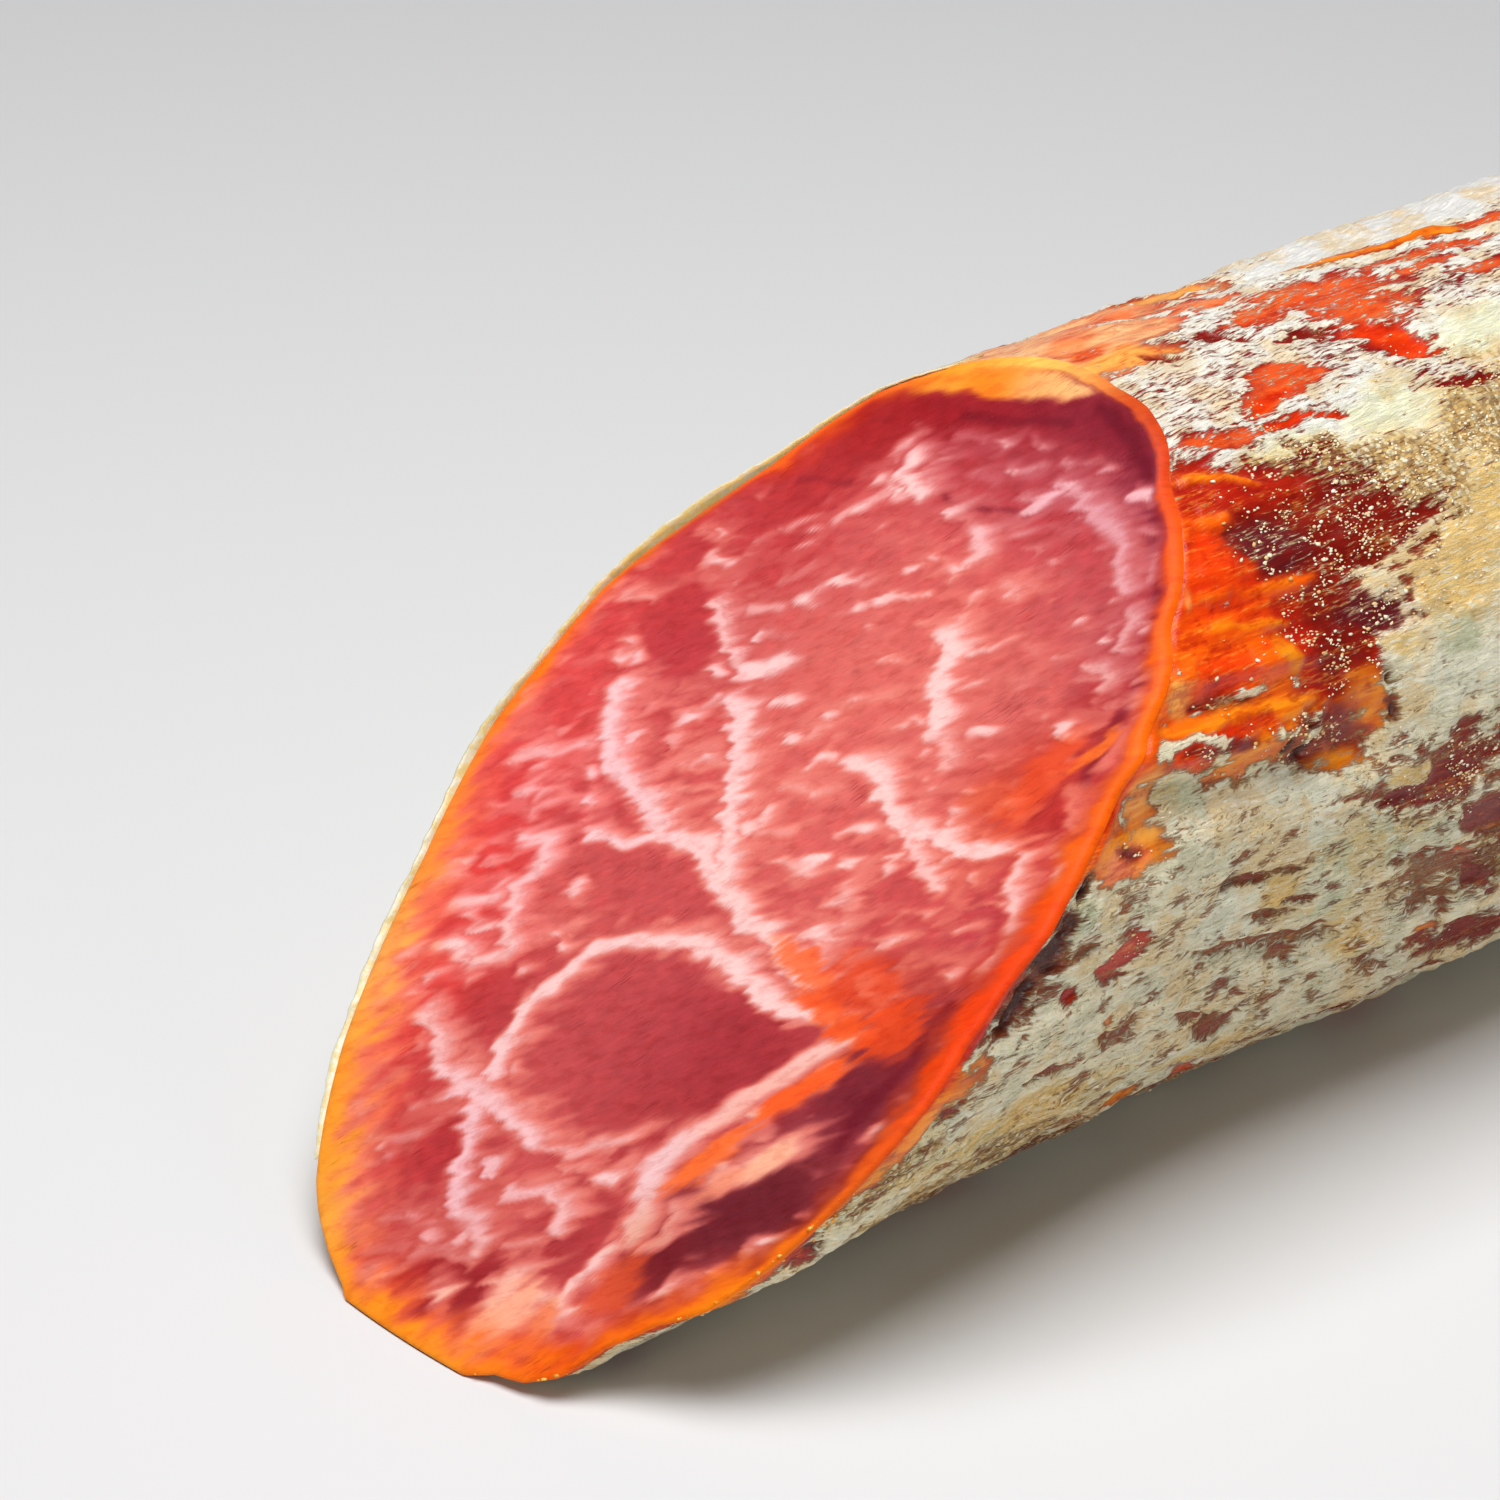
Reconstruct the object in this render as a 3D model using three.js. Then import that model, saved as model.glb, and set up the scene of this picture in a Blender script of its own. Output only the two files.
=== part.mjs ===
// A cured pork loin: one piece of dried, marbled meat in its casing, with one end sliced off on a long
// slant and the other end round. It lies on its side on a narrow flat strip.
// Millimetres, +Z up, +X along the loin from the cut to the round end. The origin is the middle of the
// footprint at table height.
import * as THREE from "three";

// Driving dimensions
const LENGTH = 280; // lowest point of the cut to the round end
const RADIUS = 34; // half the thickness of the loin at the cut
const TAPER = 3; // how much smaller that is by the round end
const SIDE_BEND = 14; // how far the round end curves towards the near side
const BEND_START = 80; // where that curve starts
const BASE_BAND = 5; // height below which the section is squashed by its own weight
const BASE_SQUASH = 0.7; // how far the underside is pressed up
const BASE_FLAT = 0.4; // how much of it is then flat on the table
const CUT_SLOPE = 1.2; // how far the cut runs back for each mm that it rises
const CUT_SKEW = 0.04; // how far the cut runs back for each mm towards the far side
const CUT_HOLLOW = 0.5; // depth of the slight hollow in the dried cut face
const RIM_ROUND = 1; // how far the skin's edge is drawn in where it meets the cut
const END_LENGTH = 66; // stretch over which the far end rounds off
const END_DROP = 6; // how far the tip of the round end lies below the middle of the loin
const PLEAT_COUNT = 11; // gathers in the casing round the far end
const PLEAT_DEPTH = 1.5;

// Angles run round the loin from the top, 0, over the near side, 90, to the base, 180.
// A lobe is a slow swelling of the section, repeated round it, that twists along the length.
const LOBES = [
  { count: 2, size: 0.35, angle: 20, twist: 25 },
  { count: 3, size: 0.3, angle: 75, twist: -40 },
  { count: 5, size: 0.3, angle: 54, twist: 12 },
];
// A swell is a slow bulge and hollow along one side of the loin.
const SWELLS = [
  { length: 118, size: 0.5, start: 62, angle: 30 },
  { length: 71, size: 0.35, start: 20, angle: 130 },
  { length: 94, size: 0.5, start: 40, angle: -110 },
];
// A furrow is a crease along the loin, and a ridge is a furrow of negative depth.
const FURROWS = [
  { name: "ridge of the open fold", angle: 64, from: 50, to: 84, width: 2.2, depth: -1.0, lean: 0.12 },
  { name: "hollow under the fold", angle: 71, from: 52, to: 90, width: 2.6, depth: 1.3, lean: 0.1 },
  { name: "tuck above the fold", angle: 47, from: 58, to: 84, width: 2.2, depth: 0.7, lean: 0.15 },
  { name: "tuck at the shoulder", angle: 26, from: 66, to: 112, width: 2.4, depth: 0.6, lean: 0.1 },
  { name: "dip behind the rim", angle: 92, from: 33, to: 62, width: 6.5, depth: 1.0, lean: -0.35 },
  { name: "long flank crease", angle: 103, from: 44, to: 176, width: 2.4, depth: 1.1, lean: 0.06 },
  { name: "low flank crease", angle: 114, from: 26, to: 120, width: 2.6, depth: 0.9, lean: 0.08 },
  { name: "under crease", angle: 128, from: 50, to: 200, width: 3.0, depth: 0.9, lean: -0.03 },
  { name: "top crease", angle: -14, from: 84, to: 190, width: 2.8, depth: 0.8, lean: 0.05 },
  { name: "far shoulder crease", angle: -48, from: 74, to: 170, width: 3.0, depth: 1.0, lean: -0.05 },
  { name: "far flank crease", angle: -84, from: 40, to: 212, width: 3.4, depth: 1.2, lean: 0.04 },
  { name: "far low crease", angle: -118, from: 30, to: 150, width: 3.0, depth: 0.9, lean: -0.06 },
  { name: "near rear crease", angle: 58, from: 128, to: 232, width: 3.2, depth: 1.1, lean: -0.07 },
  { name: "near rear low crease", angle: 86, from: 150, to: 236, width: 2.8, depth: 0.9, lean: 0.05 },
];

// Mesh steps
const STEPS_ROUND = 80;
const STEPS_ALONG = 50;
const STEPS_CUT = 5; // rings between the middle of the cut and its rim
const ALONG_CROWDING = 1.35; // above 1, the rings lie closer together near the cut
const RIM_PASSES = 30; // repeats that settle where the curved skin meets the cut
const RIM_PASS_SHARE = 0.7; // share of the gap that each repeat closes

const TURN = 2 * Math.PI;
const { degToRad, clamp, lerp, smoothstep } = THREE.MathUtils;

// How far x lies into the rounded end, from 0 to 1, and the share of a full section that is left there.
function endShare(x) {
  const t = clamp((x - (LENGTH - END_LENGTH)) / END_LENGTH, 0, 1);
  return { t, share: Math.sqrt(1 - t ** 2.3) };
}

function lobes(x, angle) {
  return LOBES.reduce((sum, lobe) => {
    const start = degToRad(lobe.angle + (lobe.twist * x) / 100);
    return sum + lobe.size * Math.cos(lobe.count * (angle - start));
  }, 0);
}

function swells(x, angle) {
  return SWELLS.reduce((sum, swell) => {
    const side = Math.cos(angle - degToRad(swell.angle));
    return sum + swell.size * side * Math.sin((TURN * (x - swell.start)) / swell.length);
  }, 0);
}

// A furrow fades in and out over a quarter of its length, and leans round the loin as it goes.
function furrows(x, angle) {
  return FURROWS.reduce((sum, furrow) => {
    const share = (x - furrow.from) / (furrow.to - furrow.from);
    if (share <= 0 || share >= 1) return sum;
    const middle = degToRad(furrow.angle) + (furrow.lean * (x - furrow.from)) / RADIUS;
    const turned = Math.atan2(Math.sin(angle - middle), Math.cos(angle - middle));
    const away = (turned * RADIUS) / furrow.width;
    const fade = smoothstep(share, 0, 0.25) * (1 - smoothstep(share, 0.75, 1));
    return sum - furrow.depth * fade * Math.exp(-away * away);
  }, 0);
}

// Gathers that deepen towards the tip of the round end, uneven round it.
function pleats(x, angle) {
  const { t, share } = endShare(x);
  const uneven = 0.7 * Math.sin(2 * angle + 0.8) + 0.4 * Math.sin(3 * angle);
  return PLEAT_DEPTH * t * t * share * Math.cos(PLEAT_COUNT * angle + uneven);
}

// The radius before the far end rounds off.
function bodyRadius(x, angle) {
  const plain = RADIUS - TAPER * smoothstep(x, BEND_START, LENGTH);
  return plain + lobes(x, angle) + swells(x, angle) + furrows(x, angle);
}

function loinRadius(x, angle) {
  return endShare(x).share * bodyRadius(x, angle) + pleats(x, angle);
}

// The middle of the section at x. It curves towards the near side, -Y, and the soft meat follows the table.
function axisPoint(x) {
  const bend = clamp((x - BEND_START) / (LENGTH - BEND_START), 0, 1) ** 2;
  const height = bodyRadius(x, Math.PI) - BASE_SQUASH - BASE_FLAT - END_DROP * endShare(x).t ** 2;
  return { side: -SIDE_BEND * bend, height };
}

// A point of the skin. The section is squashed near the table and cut off flat at its height.
function skinPoint(x, angle) {
  const r = loinRadius(x, angle);
  const { side, height } = axisPoint(x);
  const round = height + r * Math.cos(angle) + BASE_SQUASH;
  const low = clamp((BASE_BAND - round) / BASE_BAND, 0, 1);
  const pressed = round - BASE_SQUASH + BASE_SQUASH * low * low;
  return new THREE.Vector3(x, side - r * Math.sin(angle), Math.max(pressed, 0));
}

// The point of the rim at an angle, where the skin meets the slanted cut.
function rimPoint(angle) {
  let point = skinPoint(CUT_SLOPE * RADIUS, angle);
  for (let i = 0; i < RIM_PASSES; i++) {
    const onCut = CUT_SLOPE * point.z + CUT_SKEW * point.y;
    point = skinPoint(lerp(point.x, onCut, RIM_PASS_SHARE), angle);
  }
  return point;
}

// Ring 0 is the rim, a little drawn in, and the rest run on towards the tip of the round end.
function skinRing(step, middle) {
  const along = (step / STEPS_ALONG) ** ALONG_CROWDING;
  const points = [];
  for (let i = 0; i < STEPS_ROUND; i++) {
    const angle = (i / STEPS_ROUND) * TURN;
    const rim = rimPoint(angle);
    const point = skinPoint(lerp(rim.x, LENGTH, along), angle);
    if (step === 0) {
      const drawnIn = RIM_ROUND * smoothstep(point.z, 0, BASE_BAND);
      point.add(middle.clone().sub(point).normalize().multiplyScalar(drawnIn));
    }
    points.push(point);
  }
  return points;
}

// The cut face is rings that shrink from the rim to its middle, a little hollow.
function cutRing(share, rim, middle) {
  const normal = new THREE.Vector3(-1, CUT_SKEW, CUT_SLOPE).normalize();
  return rim.map((point) => {
    const inner = middle.clone().lerp(point, share);
    return inner.addScaledVector(normal, -CUT_HOLLOW * (1 - share * share));
  });
}

function loinGeometry() {
  const middleHeight = RADIUS - BASE_SQUASH - BASE_FLAT;
  const middle = new THREE.Vector3(CUT_SLOPE * middleHeight, 0, middleHeight);
  const rim = skinRing(0, middle);
  const rings = [];
  for (let i = 1; i < STEPS_CUT; i++) rings.push(cutRing(i / STEPS_CUT, rim, middle));
  rings.push(rim);
  for (let i = 1; i < STEPS_ALONG; i++) rings.push(skinRing(i, middle));
  const nearTip = cutRing(0, [middle], middle)[0];
  const end = axisPoint(LENGTH);
  const farTip = new THREE.Vector3(LENGTH, end.side, end.height);

  const points = [nearTip, ...rings.flat(), farTip];
  const faces = [];
  const at = (ring, i) => 1 + ring * STEPS_ROUND + (i % STEPS_ROUND);
  for (let i = 0; i < STEPS_ROUND; i++) {
    faces.push(0, at(0, i + 1), at(0, i));
    for (let ring = 0; ring < rings.length - 1; ring++) {
      faces.push(at(ring, i), at(ring + 1, i + 1), at(ring + 1, i));
      faces.push(at(ring, i), at(ring, i + 1), at(ring + 1, i + 1));
    }
    faces.push(at(rings.length - 1, i), at(rings.length - 1, i + 1), points.length - 1);
  }

  const geometry = new THREE.BufferGeometry().setFromPoints(points);
  geometry.setIndex(faces);
  geometry.computeBoundingBox();
  const box = geometry.boundingBox;
  geometry.translate(-(box.min.x + box.max.x) / 2, -(box.min.y + box.max.y) / 2, -box.min.z);
  geometry.computeVertexNormals();
  return geometry;
}

const curedMeat = new THREE.MeshStandardMaterial({ color: 0xb4453a, roughness: 0.55, metalness: 0 });

const loin = new THREE.Mesh(loinGeometry(), curedMeat);
loin.name = "loin";

const group = new THREE.Group();
group.add(loin);

export default group;
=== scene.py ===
import itertools
import math

import bpy
import numpy as np
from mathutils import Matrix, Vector


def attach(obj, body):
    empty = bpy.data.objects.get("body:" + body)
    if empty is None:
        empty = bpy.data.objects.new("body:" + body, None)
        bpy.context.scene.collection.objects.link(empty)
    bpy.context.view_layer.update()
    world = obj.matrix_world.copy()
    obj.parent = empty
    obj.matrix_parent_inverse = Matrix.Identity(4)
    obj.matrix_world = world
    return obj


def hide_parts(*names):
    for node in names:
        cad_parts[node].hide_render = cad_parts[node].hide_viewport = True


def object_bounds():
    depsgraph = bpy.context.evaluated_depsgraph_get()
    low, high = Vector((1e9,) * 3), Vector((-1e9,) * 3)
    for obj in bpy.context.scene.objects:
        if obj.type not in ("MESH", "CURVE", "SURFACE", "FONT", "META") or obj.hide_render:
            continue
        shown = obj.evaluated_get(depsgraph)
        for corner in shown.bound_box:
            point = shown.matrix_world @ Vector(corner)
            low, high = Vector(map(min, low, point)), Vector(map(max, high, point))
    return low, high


# A cured pork loin in its casing, sliced off on a slant. The shapes are worked out in millimetres, with the
# cut's lowest point near x = 0 and the table at z = 0, and are moved to the frame's place at the end.
# Angles run round the loin in degrees, from the top, 0, over the near side, 90, to the base, 180.
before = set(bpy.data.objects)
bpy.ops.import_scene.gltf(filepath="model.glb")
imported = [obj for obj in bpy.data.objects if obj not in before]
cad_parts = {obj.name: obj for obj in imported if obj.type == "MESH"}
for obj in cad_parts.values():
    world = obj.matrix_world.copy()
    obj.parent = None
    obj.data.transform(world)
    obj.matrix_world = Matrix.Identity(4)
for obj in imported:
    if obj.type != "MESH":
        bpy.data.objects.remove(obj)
cad_low, cad_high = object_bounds()
MM = 0.001
WHOLE_TURN = 360
HALF_TURN = 180

# Main sizes of the loin
LENGTH = 280
RADIUS = 34
TAPER = 3
SIDE_BEND = 14
BEND_START = 80
BASE_BAND = 5
BASE_SQUASH = 0.7
BASE_FLAT = 0.4
CUT_SLOPE = 1.2
CUT_SKEW = 0.04
CUT_HOLLOW = 0.5
END_LENGTH = 66
END_DROP = 6
END_ROUNDNESS = 2.3
PLEAT_COUNT = 11
PLEAT_DEPTH = 1.5
PLEAT_SHIFTS = [(2, 0.7, 0.8), (3, 0.4, 0)]  # count round the loin, size, start
RIM_ROUND = 1.2  # how wide the rounding is between the cut and the skin
BASE_HEIGHT = RADIUS - BASE_SQUASH - BASE_FLAT  # of the loin's middle over the table

LOBES = [  # count, size, angle, twist
    (2, 0.35, 20, 25),
    (3, 0.3, 75, -40),
    (5, 0.3, 54, 12),
]
SWELLS = [  # length, size, start, angle
    (118, 0.5, 62, 30),
    (71, 0.35, 20, 130),
    (94, 0.5, 40, -110),
]
FURROWS = [  # angle, from x, to x, width, depth, lean
    (64, 50, 84, 2.2, -1.0, 0.12),
    (71, 52, 90, 2.6, 1.3, 0.1),
    (47, 58, 84, 2.2, 0.7, 0.15),
    (26, 66, 112, 2.4, 0.6, 0.1),
    (92, 33, 62, 6.5, 1.0, -0.35),
    (103, 44, 176, 2.4, 1.1, 0.06),
    (114, 26, 120, 2.6, 0.9, 0.08),
    (128, 50, 200, 3.0, 0.9, -0.03),
    (-14, 84, 190, 2.8, 0.8, 0.05),
    (-48, 74, 170, 3.0, 1.0, -0.05),
    (-84, 40, 212, 3.4, 1.2, 0.04),
    (-118, 30, 150, 3.0, 0.9, -0.06),
    (58, 128, 232, 3.2, 1.1, -0.07),
    (86, 150, 236, 2.8, 0.9, 0.05),
]
FURROW_FADE = 0.25  # share of a furrow's length over which it fades in and out
FINE_FURROWS = [  # small folds in the casing of the near side, too fine for the solid
    (36, 62, 92, 0.9, 0.35, 0.1),
    (41, 60, 88, 0.8, -0.35, 0.12),
    (52, 57, 90, 0.8, 0.45, 0.1),
    (55, 56, 86, 0.8, -0.45, 0.12),
    (60, 55, 76, 0.7, 0.3, 0.1),
    (67, 52, 84, 0.8, -0.5, 0.08),
    (75, 52, 74, 1.4, 0.5, 0.05),
    (98, 40, 80, 1.0, 0.35, 0.05),
    (108, 40, 96, 0.9, 0.4, 0.07),
    (120, 30, 130, 1.2, 0.5, 0.04),
    (136, 20, 140, 1.3, 0.5, -0.02),
    (142, 16, 120, 1.0, -0.4, 0.02),
    (18, 78, 140, 1.0, 0.3, 0.06),
    (-4, 86, 150, 1.0, 0.3, 0.04),
]

# How far the rim stands out of the plain form: angle, mm. It fades out along the skin.
RIM_SHAPE = [
    (-172, 1.0), (-163, -0.1), (-154, 0.0), (-145, 0.5), (-128, 0.6), (-118, 0.2), (-107, -0.2), (-92, 0.3),
    (-84, -0.2), (-74, -0.4), (-68, -1.0), (-62, -1.6), (-55, -1.9), (-49, -1.9), (-41, -1.1), (-33, -0.3),
    (-11, -0.2), (8, 0), (15, 0.6), (25, 0.8), (31, 0.3), (46, 0.4), (58, 0.6), (63, -0.2), (71, 0.3),
    (76, 0.7), (85, 1.5), (98, 0.1), (104, 0.9), (112, 1.1), (124, 1.5), (132, 1.5), (139, 0.4), (146, 0.5),
    (152, 1.7), (157, 1.7), (162, 0.9), (168, 1.1), (174, 1.5), (180, 1.5),
]
TIP_BULGE = 0.8  # how far the low tip of the cut bows out over the table
TIP_MIDDLE = -1.0
TIP_HALF_WIDTH = 13
TIP_HEIGHT = 6
TIP_FADE = (2, 12)  # x over which the bulge fades out
RIM_SHAPE_FADE = (3, 34)  # how far behind the rim it starts to fade and is gone

# Mesh steps
CUT_NET = 306  # squares along each side of the net that the cut is drawn as
RIM_RINGS = 8  # of its rings, how many go round the rim
RIM_STEPS = 1440
FINE_TURN = 0.72  # degrees between the skin's points on its seen side
COARSE_TURN = 1.8
FINE_SIDE = (-44, 145)
STEPS_SIDE = 226
STEPS_END = 36
RIM_PASSES = 30
RIM_PASS_SHARE = 0.7

SEED = 11
NOISE_CELLS = 256
NOISE_GAIN = 1.5


# Numbers
def smooth(value, low, high):
    share = np.clip((value - low) / (high - low), 0, 1)
    return share * share * (3 - 2 * share)


def noise(points, seed):
    """Smooth noise from about -1 to 1 at an (n, 3) array of points."""
    rng = np.random.default_rng(SEED + seed)
    order = rng.permutation(NOISE_CELLS)
    slopes = rng.normal(size=(NOISE_CELLS, 3))
    slopes /= np.linalg.norm(slopes, axis=1, keepdims=True)
    cell = np.floor(points).astype(int)
    inside = points - cell
    ease = inside**3 * (inside * (inside * 6 - 15) + 10)
    total = np.zeros(len(points))
    for corner in itertools.product((0, 1), repeat=3):
        x, y, z = ((cell + corner) % NOISE_CELLS).T
        pick = order[(order[(order[x] + y) % NOISE_CELLS] + z) % NOISE_CELLS]
        weight = np.where(corner, ease, 1 - ease).prod(axis=1)
        total += weight * np.einsum("ij,ij->i", slopes[pick], inside - corner)
    return NOISE_GAIN * total


def layered_noise(points, seed, layers=4, fade=0.5):
    total, size = np.zeros(len(points)), 1.0
    for layer in range(layers):
        total += size * noise(points * 2**layer, seed + layer)
        size *= fade
    return total


# The loin's form
def end_share(x):
    t = np.clip((x - (LENGTH - END_LENGTH)) / END_LENGTH, 0, 1)
    return t, np.sqrt(np.maximum(1 - t**END_ROUNDNESS, 0))


def furrow_depth(x, angle, furrows):
    total = np.zeros(np.broadcast(x, angle).shape)
    for place, start, stop, width, depth, lean in furrows:
        share = np.clip((x - start) / (stop - start), 0, 1)
        middle = math.radians(place) + lean * (x - start) / RADIUS
        turned = np.arctan2(np.sin(angle - middle), np.cos(angle - middle))
        fade = smooth(share, 0, FURROW_FADE) * (1 - smooth(share, 1 - FURROW_FADE, 1))
        total += depth * fade * np.exp(-((turned * RADIUS / width) ** 2))
    return total


def body_radius(x, angle):
    total = RADIUS - TAPER * smooth(x, BEND_START, LENGTH)
    for count, size, start, twist in LOBES:
        total = total + size * np.cos(count * (angle - np.radians(start + twist * x / 100)))
    for length, size, start, side in SWELLS:
        wave = np.sin(2 * math.pi * (x - start) / length)
        total = total + size * np.cos(angle - math.radians(side)) * wave
    return total - furrow_depth(x, angle, FURROWS)


def loin_radius(x, angle):
    t, share = end_share(x)
    uneven = sum(size * np.sin(count * angle + start) for count, size, start in PLEAT_SHIFTS)
    pleats = PLEAT_DEPTH * t * t * share * np.cos(PLEAT_COUNT * angle + uneven)
    return share * body_radius(x, angle) + pleats


def axis_point(x):
    bend = np.clip((x - BEND_START) / (LENGTH - BEND_START), 0, 1) ** 2
    under = body_radius(x, math.pi) - BASE_SQUASH - BASE_FLAT
    return -SIDE_BEND * bend, under - END_DROP * end_share(x)[0] ** 2


def behind_cut(x, angle):
    """About how far behind the cut a place on the skin is, in mm along x."""
    return x - CUT_SLOPE * (BASE_HEIGHT + RADIUS * np.cos(angle))


def rim_swell(x, angle):
    """How far the skin near the rim stands off the plain form, in mm."""
    angles, sizes = zip(*RIM_SHAPE)
    fade = 1 - smooth(behind_cut(x, angle), *RIM_SHAPE_FADE)
    return np.interp(np.degrees(angle), angles, sizes, period=WHOLE_TURN) * fade


def skin_point(x, angle, lift=0.0):
    """Points of the skin, lifted off the plain form by so many mm."""
    r = loin_radius(x, angle) + rim_swell(x, angle) + lift
    side, height = axis_point(x)
    plain = height + r * np.cos(angle) + BASE_SQUASH
    low = np.clip((BASE_BAND - plain) / BASE_BAND, 0, 1)
    pressed = np.maximum(plain - BASE_SQUASH + BASE_SQUASH * low * low, 0)
    return np.stack([x + 0 * angle, side - r * np.sin(angle), pressed], axis=-1)


def tip_bulge(points):
    """Points of the low tip, bowed out."""
    x, y, z = points.T
    side = np.clip(1 - ((y - TIP_MIDDLE) / TIP_HALF_WIDTH) ** 2, 0, 1)
    low = 1 - smooth(z, 0, TIP_HEIGHT)
    near = 1 - smooth(x, *TIP_FADE)
    return np.column_stack([x - TIP_BULGE * side * low * near, y, z])


def rim_points(angle):
    point = skin_point(np.full(len(angle), CUT_SLOPE * RADIUS), angle)
    for _ in range(RIM_PASSES):
        on_cut = CUT_SLOPE * point[:, 2] + CUT_SKEW * point[:, 1]
        x = point[:, 0] + RIM_PASS_SHARE * (on_cut - point[:, 0])
        point = skin_point(x, angle)
    return point


# Places on the cut: across, in mm towards the near side, and up the slope, in mm, from the cut's middle
CUT_MIDDLE = np.array([CUT_SLOPE, 0, 1]) * BASE_HEIGHT
CUT_ACROSS = -np.array([CUT_SKEW, 1, 0]) / math.hypot(CUT_SKEW, 1)
CUT_UP = np.array([CUT_SLOPE, 0, 1]) / math.hypot(CUT_SLOPE, 1)
CUT_NORMAL = np.array([-1, CUT_SKEW, CUT_SLOPE]) / math.sqrt(1 + CUT_SKEW**2 + CUT_SLOPE**2)


def path_distance(place, path):
    """Distance in mm from (n, 2) places to the line through a path's points."""
    best = np.full(len(place), np.inf)
    for a, b in zip(path, path[1:]):
        a, b = np.array(a, float), np.array(b, float)
        share = np.clip((place - a) @ (b - a) / ((b - a) @ (b - a)), 0, 1)
        best = np.minimum(best, np.linalg.norm(place - a - share[:, None] * (b - a), axis=1))
    return best


def oval_distance(place, x, y, wide, high, turn):
    """0 in the middle of a turned oval, 1 at its edge."""
    c, s = math.cos(math.radians(turn)), math.sin(math.radians(turn))
    dx, dy = (place - (x, y)).T
    return np.hypot((dx * c + dy * s) / wide, (dy * c - dx * s) / high)


def blend_colours(place, base, base_weight, blobs):
    """Colours from 0 to 1 at (n, 2) places: each blob is an oval, its colour and its weight."""
    total = np.tile(np.array(base, float) * base_weight, (len(place), 1))
    weights = np.full(len(place), float(base_weight))
    for *oval, colour, weight in blobs:
        w = weight * np.exp(-oval_distance(place, *oval) ** 2)
        total += w[:, None] * np.array(colour, float)
        weights += w
    return total / weights[:, None] / 255


def mixed(share, a, b):
    """Colours a and b, from 0 to 1, mixed by a share at each point."""
    return a + share[:, None] * (np.asarray(b, float) - a)


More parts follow.
